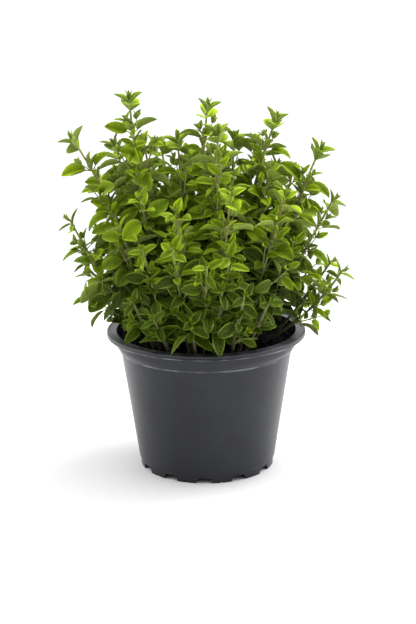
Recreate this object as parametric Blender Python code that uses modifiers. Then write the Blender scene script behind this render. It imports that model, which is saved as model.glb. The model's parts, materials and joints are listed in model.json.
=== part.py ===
"""Potted oregano: a moulded nursery pot, its potting soil and the leafy stems that grow in it.

Origin at the middle of the pot's foot, on the surface that the pot stands on, +Z up. Metres.
Every stem is one solid with its leaves. The pot, the soil and each stem keep a small gap.
"""
import math
import random

import bmesh
import bpy
from mathutils import Matrix, Vector
from mathutils.bvhtree import BVHTree

MM = 0.001
GAP = 0.3 * MM

# Pot: driving sizes
POT_HEIGHT = 98.6 * MM
RIM_RADIUS = 70.0 * MM
RIM_WIDTH = 6.6 * MM
LIP_DROP = 3.2 * MM
WALL = 1.5 * MM
COLLAR_TOP_RADIUS = 64.6 * MM
SHOULDER_RADIUS = 63.6 * MM
SHOULDER = 88.8 * MM
COLLAR_BOTTOM_RADIUS = 60.9 * MM
COLLAR_BOTTOM = 84.4 * MM
BODY_TOP_RADIUS = 60.2 * MM
BODY_BOTTOM_RADIUS = 48.5 * MM
FOOT_HEIGHT = 6.0 * MM
FOOT_RADIUS = 47.4 * MM
FOOT_WALL = 2.1 * MM
EDGE = 0.6 * MM
POT_SIDES = 36

# Drainage notches round the foot, small nicks between them, and holes in the floor
NOTCHES = 12
FIRST_NOTCH = math.radians(-92.6)
NOTCH_TOP_WIDTH = 9.0 * MM
NOTCH_FOOT_WIDTH = 11.5 * MM
NOTCH_HEIGHT = 3.8 * MM
NICK_WIDTH = 1.6 * MM
NICK_HEIGHT = 1.1 * MM
DRAIN_HOLES = 6
DRAIN_RADIUS = 4.0 * MM
DRAIN_CIRCLE = 33.0 * MM
DRAIN_SIDES = 12
SHARP_EDGE = math.radians(30)

# Soil
SOIL_TOP = 88.6 * MM
SOIL_CROWN = 1.2 * MM
SOIL_RIPPLE = 0.7 * MM
SOIL_RINGS = 2
HOLE_SIDES = 4

# Stems: square in section, thicker at the foot, each rooted in a plain hole
STEM_FOOT_RADIUS = 1.4 * MM
STEM_TIP_RADIUS = 0.85 * MM
STEM_POINT_SPACING = 30.0 * MM
ROOTED = 9.0 * MM
BUD_LENGTH = 9.0 * MM
BUD_RADIUS = 1.0 * MM
BUD_POINT = 0.35 * MM

# Stems under this length are a little thinner and have smaller leaves, down to these shares
LONG_STEM = 120.0 * MM
SHORT_STEM_GIRTH = 0.75
SHORT_STEM_LEAF = 0.82

# Leaves: from young ones at the tip (first value) to full-grown ones (second value)
LEAF_LENGTH = (11.5 * MM, 18.0 * MM)
LEAF_WIDTH = (5.4 * MM, 11.4 * MM)
LEAF_PETIOLE = (0.8 * MM, 5.5 * MM)
LEAF_LEAN = (34.0, 64.0)
LEAF_ARCH = (12.0, 50.0)
LEAF_FOLD = (28.0, 14.0)
LEAF_ROLL = 28.0
SKYWARD = 0.35
OUTWARD = 0.55
OUTWARD_REACH = 70.0 * MM
LEAF_THICKNESS = 1.0 * MM
PETIOLE_RADIUS = 0.6 * MM
GROWN_AT = 28.0 * MM
FIRST_PAIR = 1.0 * MM
SECOND_PAIR = 6.5 * MM
PAIR_SPACING = (13.5 * MM, 19.0 * MM)
MOST_PAIRS = 7
FEWEST_PAIRS = 3
STEM_PER_PAIR = 26.0 * MM
LEAVES_START = 13.0 * MM
LEAF_OVER_SOIL = 2.0 * MM
CLEARANCE = 0.4 * MM
FLAT_ANGLE = math.radians(1.0)

# Where a blade's outline turns: share of its length, and share of its full width there
YOUNG_STATION = (0.42, 1.0)
GROWN_STATIONS = ((0.27, 0.94), (0.62, 0.80))
YOUNG_AGE = 0.5
ROOT_DEPTH = 0.3

# Scatter from leaf to leaf: factors on length, width and arch, and degrees of turn and lean
LENGTH_SCATTER = (0.9, 1.08)
WIDTH_SCATTER = (0.92, 1.06)
ARCH_SCATTER = (0.5, 1.4)
TURN_SCATTER = (-10, 10)
LEAN_SCATTER = (-9, 12)

# Turn about the stem and change of lean, in degrees, tried in this order until a leaf is clear
TRIES = ((0, 0), (16, 0), (-16, 0), (0, 12), (0, -12), (30, 6), (-30, 6), (30, -10), (-30, -10),
         (46, 0), (-46, 0), (20, 24), (-20, 24))

# Stems that the photograph shows, in millimetres and degrees:
# foot x, y in the soil's surface; tip x, y, z; outward bow at mid-length; turn of the first leaf pair
SHOWN_STEMS = (
    (-19, -18, -50, -12, 260, 5, 0),
    (-32, -22, -88, -5, 232, -8, 0),
    (-36, -8, -92, -10, 178, 3, 10),
    (-35, 16, -61, 25, 221, 0, 50),
    (-10, -16, -18, -8, 232, 0, 15),
    (-20, 12, -42, 22, 226, 0, 70),
    (-3, 6, 2, 5, 252, -3, 5),
    (6, -26, 9, -24, 239, 0, 10),
    (11, 4, 48, 5, 243, -4, 0),
    (24, -5, 78, 0, 223, -1, 15),
    (30, -19, 87, -8, 190, 0, 25),
    (38, -6, 94, -10, 141, 5, 10),
    (34, 14, 62, 30, 204, 0, 60),
    (17, -12, 44, -8, 211, 0, 35),
    (12, 20, 21, 38, 225, 0, 40),
    (22, 14, 35, 30, 224, 0, 75),
    (4, -36, 17, -58, 204, 0, 30),
    (22, -29, 53, -40, 199, 0, 45),
    (-2, -43, 1, -84, 163, 0, 20),
    (11, -39, 15, -74, 167, 0, 65),
    (5, -49, 11, -78, 148, 0, 0),
    (16, -48, 25, -76, 141, 0, 50),
    (25, -40, 41, -62, 132, 0, 25),
    (-11, -42, -21, -76, 173, 0, 40),
    (-24, -33, -41, -58, 168, 0, 10),
    (-34, -30, -48, -52, 131, 0, 55),
    (-23, -44, -34, -66, 123, 0, 30),
    (-6, -51, -9, -68, 116, 0, 75),
    (-36, -17, -57, -30, 179, 0, 20),
    (-9, -30, -19, -60, 193, 0, 60),
)

# Stems that the photograph hides, spread over the back in rows: count, foot and tip distance from
# the axis, tip height, first and last direction in degrees
BACK_ROWS = (
    (6, 46.0, 86.0, 150.0, 4.0, 172.0),
    (6, 34.0, 77.0, 196.0, 18.0, 160.0),
    (3, 13.0, 50.0, 216.0, 80.0, 132.0),
)
BACK_SEED = 7

# Scatter from stem to stem there: degrees, foot and tip distance, height, and the range of bow
BACK_ANGLE_SCATTER = 4
BACK_FOOT_SCATTER = 2
BACK_TIP_SCATTER = 4
BACK_HEIGHT_SCATTER = 7
BACK_BOW = (-2, 4)


class Stem:
    """One stem's centre line, a smooth arc from its foot in the soil's surface to its tip."""

    def __init__(self, number, foot_x, foot_y, tip_x, tip_y, tip_z, bow, turn):
        self.name = f"stem_{number:02d}"
        self.seed = number
        self.turn = turn
        self.foot = Vector((foot_x * MM, foot_y * MM, SOIL_TOP))
        self.tip = Vector((tip_x * MM, tip_y * MM, tip_z * MM))
        chord = self.tip - self.foot
        outward = Vector((chord.x, chord.y, 0.0)).normalized()
        along = chord.normalized()
        across = (outward - along * outward.dot(along)).normalized()
        self.middle = (self.foot + self.tip) / 2 + across * (2 * bow * MM)
        self.length = chord.length

    def point(self, share):
        rest = 1.0 - share
        return self.foot * rest ** 2 + self.middle * (2 * share * rest) + self.tip * share ** 2

    def direction(self, share):
        rest = 1.0 - share
        return ((self.middle - self.foot) * rest + (self.tip - self.middle) * share).normalized()

    def radius(self, share):
        foot_radius = STEM_FOOT_RADIUS * self.growth(SHORT_STEM_GIRTH)
        return foot_radius + (STEM_TIP_RADIUS - foot_radius) * share

    def growth(self, smallest):
        """Size factor that falls from 1 on a long stem towards the smallest on a short one."""
        return smallest + (1 - smallest) * min(1.0, self.length / LONG_STEM)


class Leaf:
    """One blade with its stalk: an arc that leaves the stem's middle and bends away from its face."""

    def __init__(self, stem, distance, side_turn, draw):
        share = 1.0 - distance / stem.length
        self.age = min(1.0, distance / GROWN_AT)
        self.base = stem.point(share)
        self.axis = stem.direction(share)
        self.stem_radius = stem.radius(share)
        size = stem.growth(SHORT_STEM_LEAF) * draw.uniform(*LENGTH_SCATTER)
        self.blade = mix(LEAF_LENGTH, self.age) * size
        self.width = mix(LEAF_WIDTH, self.age) * size * draw.uniform(*WIDTH_SCATTER)
        self.petiole = mix(LEAF_PETIOLE, self.age) * size
        self.arch = math.radians(mix(LEAF_ARCH, self.age) * draw.uniform(*ARCH_SCATTER))
        self.fold = math.tan(math.radians(mix(LEAF_FOLD, self.age)))
        self.turn = math.radians(side_turn + draw.uniform(*TURN_SCATTER))
        self.lean = math.radians(mix(LEAF_LEAN, self.age) + draw.uniform(*LEAN_SCATTER))
        self.roll = math.radians(draw.uniform(-LEAF_ROLL, LEAF_ROLL) * self.age)
        self.aim(0, 0)

    def aim(self, extra_turn, extra_lean):
        """Sets the direction that the leaf leaves in and the way its upper face looks: away from
        the stem's foot, and turned to the light above and outside the plant."""
        turn = self.turn + math.radians(extra_turn)
        lean = self.lean + math.radians(extra_lean)
        right = Vector((1, 0, 0)) - self.axis * self.axis.x
        right.normalize()
        away = right * math.cos(turn) + self.axis.cross(right) * math.sin(turn)
        self.out = self.axis * math.cos(lean) + away * math.sin(lean)
        light = Vector((self.base.x, self.base.y, 0.0)) * (OUTWARD / OUTWARD_REACH)
        light.z = SKYWARD
        face = self.axis * math.sin(lean) - away * math.cos(lean) + light
        face = (face - self.out * face.dot(self.out)).normalized()
        self.face = face * math.cos(self.roll) + self.out.cross(face) * math.sin(self.roll)
        self.side = self.out.cross(self.face)

    def frame(self, along):
        """Point on the midrib and the face's normal there, at a distance from the stem's middle."""
        bend = self.arch * along / (self.petiole + self.blade)
        radius = (self.petiole + self.blade) / self.arch
        point = self.base + self.out * (radius * math.sin(bend)) - self.face * (radius * (1 - math.cos(bend)))
        return point, self.face * math.cos(bend) + self.out * math.sin(bend)

    def stalk_section(self, along, radius):
        point, normal = self.frame(along)
        return [point + self.side * radius + normal * (radius * 0.5),
                point - self.side * radius + normal * (radius * 0.5),
                point - normal * radius]

    def blade_section(self, share, width_share, grow):
        point, normal = self.frame(self.petiole + self.blade * share)
        half = self.width / 2 * width_share + grow
        rise = normal * (half * self.fold)
        thick = normal * (LEAF_THICKNESS / 2 + grow)
        return [point + self.side * half + rise, point + thick,
                point - self.side * half + rise, point - thick]

    def sections(self, grow=0.0):
        """Cross-sections from the stalk's root, inside the stem, to the leaf's point."""
        sections = [self.stalk_section(self.stem_radius * ROOT_DEPTH, PETIOLE_RADIUS)]
        if self.age < YOUNG_AGE:
            sections.append(self.blade_section(*YOUNG_STATION, grow))
        else:
            sections.append(self.stalk_section(self.petiole, PETIOLE_RADIUS + grow))
            sections += [self.blade_section(*station, grow) for station in GROWN_STATIONS]
        sections.append([self.frame(self.petiole + self.blade + grow)[0]])
        return sections


def mix(pair, share):
    return pair[0] + (pair[1] - pair[0]) * share


def scatter(draw, most):
    return draw.uniform(-most, most)


def back_stems(first_number):
    """Rows of stems over the back half, each row on its own ring, with a small seeded scatter."""
    draw = random.Random(BACK_SEED)
    stems = []
    for count, foot_reach, tip_reach, height, first, last in BACK_ROWS:
        for place in range(count):
            even = first + (last - first) * place / (count - 1)
            angle = math.radians(even + scatter(draw, BACK_ANGLE_SCATTER))
            foot = foot_reach + scatter(draw, BACK_FOOT_SCATTER)
            tip = tip_reach + scatter(draw, BACK_TIP_SCATTER)
            tip_height = height + scatter(draw, BACK_HEIGHT_SCATTER)
            stems.append(Stem(first_number + len(stems),
                              foot * math.cos(angle), foot * math.sin(angle),
                              tip * math.cos(angle), tip * math.sin(angle),
                              tip_height, draw.uniform(*BACK_BOW), draw.uniform(0, 90)))
    return stems


def all_stems():
    shown = [Stem(number, *row) for number, row in enumerate(SHOWN_STEMS, start=1)]
    return shown + back_stems(len(shown) + 1)


def planned_leaves(stem):
    """Opposite pairs, each pair at right angles to the one above it, from the tip down."""
    draw = random.Random(stem.seed)
    pairs = max(FEWEST_PAIRS, min(MOST_PAIRS, round(stem.length / STEM_PER_PAIR)))
    leaves = []
    distance = FIRST_PAIR
    for pair in range(pairs):
        if stem.length - distance < LEAVES_START:
            break
        for side in (0, 180):
            leaves.append(Leaf(stem, distance, stem.turn + 90 * pair + side, draw))
        distance = SECOND_PAIR if pair == 0 else distance + draw.uniform(*PAIR_SPACING)
    return leaves


def principled(name, colour, roughness):
    material = bpy.data.materials.new(name)
    material.use_nodes = True
    shader = material.node_tree.nodes["Principled BSDF"]
    shader.inputs["Base Color"].default_value = (*colour, 1.0)
    shader.inputs["Roughness"].default_value = roughness
    material.diffuse_color = (*colour, 1.0)
    return material


def new_collection(name):
    collection = bpy.data.collections.new(name)
    bpy.context.scene.collection.children.link(collection)
    return collection


def mesh_object(name, mesh, collection, material=None):
    body = bpy.data.objects.new(name, mesh)
    collection.objects.link(body)
    if material:
        mesh.materials.clear()
        mesh.materials.append(material)
    return body


def evaluated_mesh(body):
    """The object's mesh with its modifiers applied, or a curve's tube, as a new mesh."""
    depsgraph = bpy.context.evaluated_depsgraph_get()
    return bpy.data.meshes.new_from_object(body.evaluated_get(depsgraph))


def apply_modifiers(body):
    mesh = evaluated_mesh(body)
    body.modifiers.clear()
    body.data = mesh


def remove_collection(collection):
    for body in list(collection.objects):
        bpy.data.objects.remove(body)
    bpy.data.collections.remove(collection)


def hide_cutter(body):
    body.hide_render = True
    body.display_type = "WIRE"


def boolean(body, operation, collection):
    cut = body.modifiers.new(operation.lower(), "BOOLEAN")
    cut.operation = operation
    cut.operand_type = "COLLECTION"
    cut.collection = collection
    cut.solver = "EXACT"


def turned(name, profile, sides, collection, material):
    """A body of revolution about Z, from a profile of radius and height pairs."""
    mesh = bpy.data.meshes.new(name)
    points = [(radius, 0.0, height) for radius, height in profile]
    edges = [(index, index + 1) for index in range(len(points) - 1)]
    mesh.from_pydata(points, edges, [])
    body = mesh_object(name, mesh, collection, material)
    screw = body.modifiers.new("turn", "SCREW")
    screw.axis = "Z"
    screw.angle = math.tau
    screw.steps = sides
    screw.render_steps = sides
    screw.use_merge_vertices = True
    screw.merge_threshold = 0.01 * MM
    apply_modifiers(body)
    return body


def inner_radius(height):
    """Radius of the pot's inner wall at a height, between the floor and the collar's top."""
    if height > SHOULDER:
        low, high = SHOULDER, POT_HEIGHT - WALL
        outer = (SHOULDER_RADIUS, COLLAR_TOP_RADIUS)
    elif height > COLLAR_BOTTOM:
        low, high = COLLAR_BOTTOM, SHOULDER
        outer = (COLLAR_BOTTOM_RADIUS, SHOULDER_RADIUS)
    else:
        low, high = FOOT_HEIGHT, COLLAR_BOTTOM
        outer = (BODY_BOTTOM_RADIUS, BODY_TOP_RADIUS)
    return mix(outer, (height - low) / (high - low)) - WALL


def inner_wall():
    """Radius and height up the pot's inner wall, from the floor's edge to the collar."""
    floor_top = FOOT_HEIGHT + WALL
    return [(inner_radius(floor_top) - EDGE, floor_top),
            (inner_radius(floor_top + 2 * EDGE), floor_top + 2 * EDGE),
            (inner_radius(COLLAR_BOTTOM - WALL), COLLAR_BOTTOM - WALL),
            (inner_radius(COLLAR_BOTTOM + EDGE), COLLAR_BOTTOM + EDGE)]


def pot_profile():
    """Up the inside from the floor's middle, over the rim, down the outside and under the floor."""
    rim_inside = RIM_RADIUS - RIM_WIDTH
    rim_underside = POT_HEIGHT - WALL
    inside = [(0.0, FOOT_HEIGHT + WALL), *inner_wall()]
    rim = [(inner_radius(SHOULDER), SHOULDER),
           (inner_radius(rim_underside - WALL), rim_underside - WALL),
           (rim_inside - EDGE, POT_HEIGHT - EDGE),
           (rim_inside, POT_HEIGHT),
           (RIM_RADIUS - EDGE, POT_HEIGHT),
           (RIM_RADIUS, POT_HEIGHT - EDGE),
           (RIM_RADIUS, POT_HEIGHT - LIP_DROP),
           (RIM_RADIUS - WALL, POT_HEIGHT - LIP_DROP),
           (RIM_RADIUS - WALL - EDGE / 2, rim_underside),
           (COLLAR_TOP_RADIUS + EDGE, rim_underside)]
    outside = [(COLLAR_TOP_RADIUS, rim_underside - EDGE),
               (SHOULDER_RADIUS, SHOULDER),
               (COLLAR_BOTTOM_RADIUS, COLLAR_BOTTOM),
               (BODY_TOP_RADIUS, COLLAR_BOTTOM - EDGE),
               (BODY_BOTTOM_RADIUS, FOOT_HEIGHT + EDGE),
               (FOOT_RADIUS + EDGE, FOOT_HEIGHT),
               (FOOT_RADIUS, 0.0),
               (FOOT_RADIUS - FOOT_WALL, 0.0),
               (FOOT_RADIUS - FOOT_WALL - EDGE / 2, FOOT_HEIGHT),
               (0.0, FOOT_HEIGHT)]
    return inside + rim + outside


def foot_cutter(name, angle, top_width, foot_width, height, collection):
    """A block across the foot ring, wider at the bottom, pointing outwards at an angle about Z."""
    reach = 4 * FOOT_WALL
    below = 1.0 * MM
    mesh = bpy.data.meshes.new(name)
    shape = bmesh.new()
    bmesh.ops.create_cube(shape, size=1.0)
    for corner in shape.verts:
        width = foot_width if corner.co.z < 0 else top_width
        lift = -below if corner.co.z < 0 else height
        corner.co = Vector((FOOT_RADIUS + corner.co.x * reach, corner.co.y * width, lift))
    shape.to_mesh(mesh)
    shape.free()
    cutter = mesh_object(name, mesh, collection)
    cutter.rotation_euler = (0, 0, angle)
    hide_cutter(cutter)


def drain_cutter(name, angle, collection):
    mesh = bpy.data.meshes.new(name)
    shape = bmesh.new()
    bmesh.ops.create_cone(shape, cap_ends=True, segments=DRAIN_SIDES, radius1=DRAIN_RADIUS,
                          radius2=DRAIN_RADIUS, depth=4 * WALL)
    shape.to_mesh(mesh)
    shape.free()
    cutter = mesh_object(name, mesh, collection)
    cutter.location = (DRAIN_CIRCLE * math.cos(angle), DRAIN_CIRCLE * math.sin(angle),
                       FOOT_HEIGHT + WALL / 2)
    hide_cutter(cutter)


def make_pot(collection, material):
    pot = turned("pot", pot_profile(), POT_SIDES, collection, material)
    cutters = new_collection("pot cutters")
    for place in range(NOTCHES):
        angle = FIRST_NOTCH + math.tau * place / NOTCHES
        foot_cutter(f"notch cutter {place}", angle, NOTCH_TOP_WIDTH, NOTCH_FOOT_WIDTH,
                    NOTCH_HEIGHT, cutters)
        foot_cutter(f"nick cutter {place}", angle + math.pi / NOTCHES, NICK_WIDTH, NICK_WIDTH,
                    NICK_HEIGHT, cutters)
    for place in range(DRAIN_HOLES):
        drain_cutter(f"drain cutter {place}", math.tau * place / DRAIN_HOLES, cutters)
    boolean(pot, "DIFFERENCE", cutters)
    apply_modifiers(pot)
    remove_collection(cutters)
    pot.data.shade_smooth()
    pot.data.set_sharp_from_angle(angle=SHARP_EDGE)
    return pot


def soil_height(x, y):
    """The soil's surface: a low crown with ripples."""
    reach = math.hypot(x, y) / inner_radius(SOIL_TOP)
    ripple = math.sin(x / (6 * MM) + 1) * math.cos(y / (5 * MM))
    return SOIL_TOP + SOIL_CROWN * (0.4 - reach * reach) + SOIL_RIPPLE * ripple * (1 - reach ** 4)


def hole_cutter(stem, collection):
    """A square bore along the stem's foot, a little wider and deeper than the stem."""
    direction = stem.direction(0.0)
    radius = (stem.radius(0.0) + GAP) / math.cos(math.pi / HOLE_SIDES)
    depth = ROOTED + GAP
    above = 6.0 * MM
    mesh = bpy.data.meshes.new(stem.name + " hole cutter")
    shape = bmesh.new()
    bmesh.ops.create_cone(shape, cap_ends=True, segments=HOLE_SIDES, radius1=radius,
                          radius2=radius, depth=depth + above)
    middle = stem.foot + direction * ((above - depth) / 2)
    upright = direction.to_track_quat("Z", "Y").to_matrix().to_4x4()
    shape.transform(Matrix.Translation(middle) @ upright)
    shape.to_mesh(mesh)
    shape.free()
    hide_cutter(mesh_object(mesh.name, mesh, collection))


def make_soil(stems, collection, material):
    """A tapered plug with a crowned top, and a hole for each stem."""
    edge_radius = inner_radius(SOIL_TOP - SOIL_CROWN) - GAP
    top = [(edge_radius * ring / SOIL_RINGS, SOIL_TOP) for ring in range(SOIL_RINGS + 1)]
    side = [(radius - GAP, height + GAP) for radius, height in reversed(inner_wall())]
    floor = (0.0, FOOT_HEIGHT + WALL + GAP)
    soil = turned("soil", [*top, *side, floor], POT_SIDES, collection, material)
    for corner in soil.data.vertices:
        if corner.co.z > SOIL_TOP - EDGE:
            corner.co.z = soil_height(corner.co.x, corner.co.y)
    cutters = new_collection("hole cutters")
    for stem in stems:
        hole_cutter(stem, cutters)
    boolean(soil, "DIFFERENCE", cutters)
    apply_modifiers(soil)
    remove_collection(cutters)
    return soil


def stem_tube(stem, collection, material):
    """The bare stem: a square tube that ends in a pointed bud of folded leaves."""
    start = stem.foot - stem.direction(0.0) * ROOTED
    end = stem.direction(1.0)
    points = [(start, stem.radius(0.0))]
    pieces = max(2, round(stem.length / STEM_POINT_SPACING))
    for place in range(pieces):
        share = place / pieces
        points.append((stem.point(share), stem.radius(share)))
    points.append((stem.tip, BUD_RADIUS))
    points.append((stem.tip + end * BUD_LENGTH, BUD_POINT))

    curve = bpy.data.curves.new(stem.name, "CURVE")
    curve.dimensions = "3D"
    curve.bevel_depth = 1.0
    curve.bevel_resolution = 0
    curve.use_fill_caps = True
    spline = curve.splines.new("POLY")
    spline.points.add(len(points) - 1)
    for target, (point, radius) in zip(spline.points, points):
        target.co = (*point, 1.0)
        target.radius = radius
    tube = bpy.data.objects.new(stem.name + " curve", curve)
    collection.objects.link(tube)
    mesh = evaluated_mesh(tube)
    bpy.data.objects.remove(tube)

    shape = bmesh.new()
    shape.from_mesh(mesh)
    bmesh.ops.remove_doubles(shape, verts=shape.verts, dist=0.005 * MM)
    bmesh.ops.recalc_face_normals(shape, faces=shape.faces)
    shape.to_mesh(mesh)
    shape.free()
    mesh.name = stem.name
    return mesh_object(stem.name, mesh, collection, material)


def leaf_faces(sections):
    """Triangles of a leaf's skin, split alike on its upper and lower side."""
    starts = [0]
    for section in sections:
        starts.append(starts[-1] + len(section))
    faces = [(0, 2, 1)]
    for index in range(len(sections) - 1):
        near, far = starts[index], starts[index + 1]
        kinds = (len(sections[index]), len(sections[index + 1]))
        if kinds == (3, 3):
            for a, b in ((0, 1), (1, 2), (2, 0)):
                faces.append((near + a, near + b, far + b, far + a))
        elif kinds == (3, 4):
            left, right, keel = near, near + 1, near + 2
            faces += [(left, far + 1, far), (left, right, far + 1), (right, far + 2, far + 1)]
            faces += [(left, far, far + 3), (left, far + 3, keel)]
            faces += [(right, keel, far + 3), (right, far + 3, far + 2)]
        elif kinds == (4, 4):
            for a, b in ((0, 1), (2, 1), (0, 3), (2, 3)):
                faces += [(near + a, far + a, far + b), (near + a, far + b, near + b)]
        else:
            for a, b in ((0, 1), (1, 2), (2, 3), (3, 0)):
                faces.append((near + a, near + b, far))
    return faces


def leaf_skin(leaf, grow=0.0):
    sections = leaf.sections(grow)
    points = [point for section in sections for point in section]
    return points, leaf_faces(sections)


def blade_only(leaf, grow):
    """The leaf's skin without its root, to test it against leaves of the same stem."""
    points, faces = leaf_skin(leaf, grow)
    return points, [face for face in faces if min(face) > 2]


def is_clear(leaf, others, own):
    """Whether a slightly thicker copy of the leaf touches nothing that stands already."""
    points, faces = leaf_skin(leaf, CLEARANCE)
    lowest = min(point.z for point in points)
    if lowest < SOIL_TOP + LEAF_OVER_SOIL and all(math.hypot(p.x, p.y) < RIM_RADIUS for p in points):
        return False
    skin = BVHTree.FromPolygons(points, faces)
    if any(skin.overlap(other) for other in others):
        return False
    blade = BVHTree.FromPolygons(*blade_only(leaf, CLEARANCE))
    return not any(blade.overlap(sibling) for sibling in own)


def place_leaves(stems, fixed, tubes):
    """Chooses each leaf's aim so that it is clear of all else, tips first, and drops the few that
    fit nowhere."""
    plans = {stem.name: planned_leaves(stem) for stem in stems}
    placed = {stem.name: [] for stem in stems}
    skins = {stem.name: [tubes[stem.name]] for stem in stems}
    blades = {stem.name: [] for stem in stems}
    for rank in range(2 * MOST_PAIRS):
        for stem in stems:
            if rank >= len(plans[stem.name]):
                continue
            leaf = plans[stem.name][rank]
            others = list(fixed)
            for name, trees in skins.items():
                if name != stem.name:
                    others += trees
            for extra_turn, extra_lean in TRIES:
                leaf.aim(extra_turn, extra_lean)
                if is_clear(leaf, others, blades[stem.name]):
                    placed[stem.name].append(leaf)
                    skins[stem.name].append(BVHTree.FromPolygons(*leaf_skin(leaf)))
                    blades[stem.name].append(BVHTree.FromPolygons(*blade_only(leaf, 0.0)))
                    break
    return placed


def leaf_object(name, leaf, collection):
    points, faces = leaf_skin(leaf)
    mesh = bpy.data.meshes.new(name)
    mesh.from_pydata(points, [], faces)
    shape = bmesh.new()
    shape.from_mesh(mesh)
    bmesh.ops.recalc_face_normals(shape, faces=shape.faces)
    shape.to_mesh(mesh)
    shape.free()
    return mesh_object(name, mesh, collection)


def clear_flat_edges(body):
    """Takes out the edges that the union leaves across flat stretches."""
    shape = bmesh.new()
    shape.from_mesh(body.data)
    bmesh.ops.dissolve_limit(shape, angle_limit=FLAT_ANGLE, verts=shape.verts, edges=shape.edges)
    bmesh.ops.triangulate(shape, faces=shape.faces)
    shape.to_mesh(body.data)
    shape.free()


def join_leaves(tube, leaves):
    """Fuses a stem and its leaves into one solid."""
    loose = new_collection(tube.name + " leaves")
    for number, leaf in enumerate(leaves):
        leaf_object(f"{tube.name} leaf {number}", leaf, loose)
    boolean(tube, "UNION", loose)
    apply_modifiers(tube)
    remove_collection(loose)
    clear_flat_edges(tube)


def tree_of(body):
    mesh = body.data
    points = [body.matrix_world @ corner.co for corner in mesh.vertices]
    return BVHTree.FromPolygons(points, [tuple(face.vertices) for face in mesh.polygons])


def main():
    for body in list(bpy.data.objects):
        bpy.data.objects.remove(body)
    plant = new_collection("potted oregano")
    pot_plastic = principled("pot plastic", (0.045, 0.047, 0.052), 0.42)
    potting_soil = principled("potting soil", (0.012, 0.009, 0.007), 0.95)
    oregano = principled("oregano leaf", (0.10, 0.22, 0.012), 0.55)

    stems = all_stems()
    pot = make_pot(plant, pot_plastic)
    soil = make_soil(stems, plant, potting_soil)
    tubes = {stem.name: stem_tube(stem, plant, oregano) for stem in stems}
    fixed = [tree_of(pot), tree_of(soil)]
    trees = {name: tree_of(tube) for name, tube in tubes.items()}
    leaves = place_leaves(stems, fixed, trees)
    for name, tube in tubes.items():
        join_leaves(tube, leaves[name])


main()
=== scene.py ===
"""Looks of the potted oregano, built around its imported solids.

The pot's profile, the stems' centre lines and the leaf plan repeat the part's own sizes. Every leafy
stem is replaced by a finer one on the same centre line, with the same leaves in the same places,
more leaves where there is room, side shoots and a rosette at its tip. Metres, +Z up.
"""
import itertools
import json
import math
import random

import bmesh
import bpy
import numpy as np
from mathutils import Matrix, Vector, noise
from mathutils.kdtree import KDTree

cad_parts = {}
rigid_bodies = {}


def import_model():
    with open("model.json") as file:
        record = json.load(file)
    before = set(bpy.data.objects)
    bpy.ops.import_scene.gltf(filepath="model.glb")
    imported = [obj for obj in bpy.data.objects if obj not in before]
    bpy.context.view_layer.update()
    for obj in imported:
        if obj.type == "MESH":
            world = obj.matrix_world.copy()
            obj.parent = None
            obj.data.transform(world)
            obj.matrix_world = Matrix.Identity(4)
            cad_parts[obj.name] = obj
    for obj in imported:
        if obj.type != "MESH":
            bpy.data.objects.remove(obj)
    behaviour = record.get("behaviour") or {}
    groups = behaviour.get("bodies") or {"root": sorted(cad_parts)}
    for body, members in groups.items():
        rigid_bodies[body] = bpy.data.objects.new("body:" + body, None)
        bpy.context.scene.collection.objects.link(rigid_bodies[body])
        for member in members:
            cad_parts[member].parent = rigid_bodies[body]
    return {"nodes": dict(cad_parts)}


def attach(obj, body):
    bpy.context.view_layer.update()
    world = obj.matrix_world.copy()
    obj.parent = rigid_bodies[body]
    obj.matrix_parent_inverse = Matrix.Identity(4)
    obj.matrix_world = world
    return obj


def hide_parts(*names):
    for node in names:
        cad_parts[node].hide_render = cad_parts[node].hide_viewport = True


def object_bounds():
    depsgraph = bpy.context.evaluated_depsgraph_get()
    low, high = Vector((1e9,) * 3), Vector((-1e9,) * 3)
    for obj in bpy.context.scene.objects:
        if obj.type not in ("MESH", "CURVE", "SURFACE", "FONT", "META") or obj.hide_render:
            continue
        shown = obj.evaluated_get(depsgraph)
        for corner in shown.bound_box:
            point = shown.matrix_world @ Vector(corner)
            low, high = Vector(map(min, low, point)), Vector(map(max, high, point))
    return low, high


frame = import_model()
cad_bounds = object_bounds()

MM = 0.001
GAP = 0.3 * MM

# Pot: the part's sizes
POT_HEIGHT = 98.6 * MM
RIM_RADIUS = 70.0 * MM
RIM_WIDTH = 6.6 * MM
LIP_DROP = 3.2 * MM
WALL = 1.5 * MM
COLLAR_TOP_RADIUS = 64.6 * MM
SHOULDER_RADIUS = 63.6 * MM
SHOULDER = 88.8 * MM
COLLAR_BOTTOM_RADIUS = 60.9 * MM
COLLAR_BOTTOM = 84.4 * MM
BODY_TOP_RADIUS = 60.2 * MM
BODY_BOTTOM_RADIUS = 48.5 * MM
FOOT_HEIGHT = 6.0 * MM
FOOT_RADIUS = 47.4 * MM
FOOT_WALL = 2.1 * MM
EDGE = 0.6 * MM
NOTCHES = 12
FIRST_NOTCH = math.radians(-92.6)
NOTCH_TOP_WIDTH = 9.0 * MM
NOTCH_FOOT_WIDTH = 11.5 * MM
NOTCH_HEIGHT = 3.8 * MM
NICK_WIDTH = 1.6 * MM
NICK_HEIGHT = 1.1 * MM
DRAIN_HOLES = 6
DRAIN_RADIUS = 4.0 * MM
DRAIN_CIRCLE = 33.0 * MM

# Pot: finer forms
RIM_DISH = 0.35 * MM
LIP_HOLLOW = 0.35 * MM
SHOULDER_ROUND = 2.2 * MM
POT_SIDES = 144
DRAIN_SIDES = 24
BELOW_FOOT = 1.0 * MM
POT_SHARP_ANGLE = math.radians(38)

# Soil: the part's sizes
SOIL_TOP = 88.6 * MM
SOIL_CROWN = 1.2 * MM
SOIL_RIPPLE = 0.7 * MM

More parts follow.
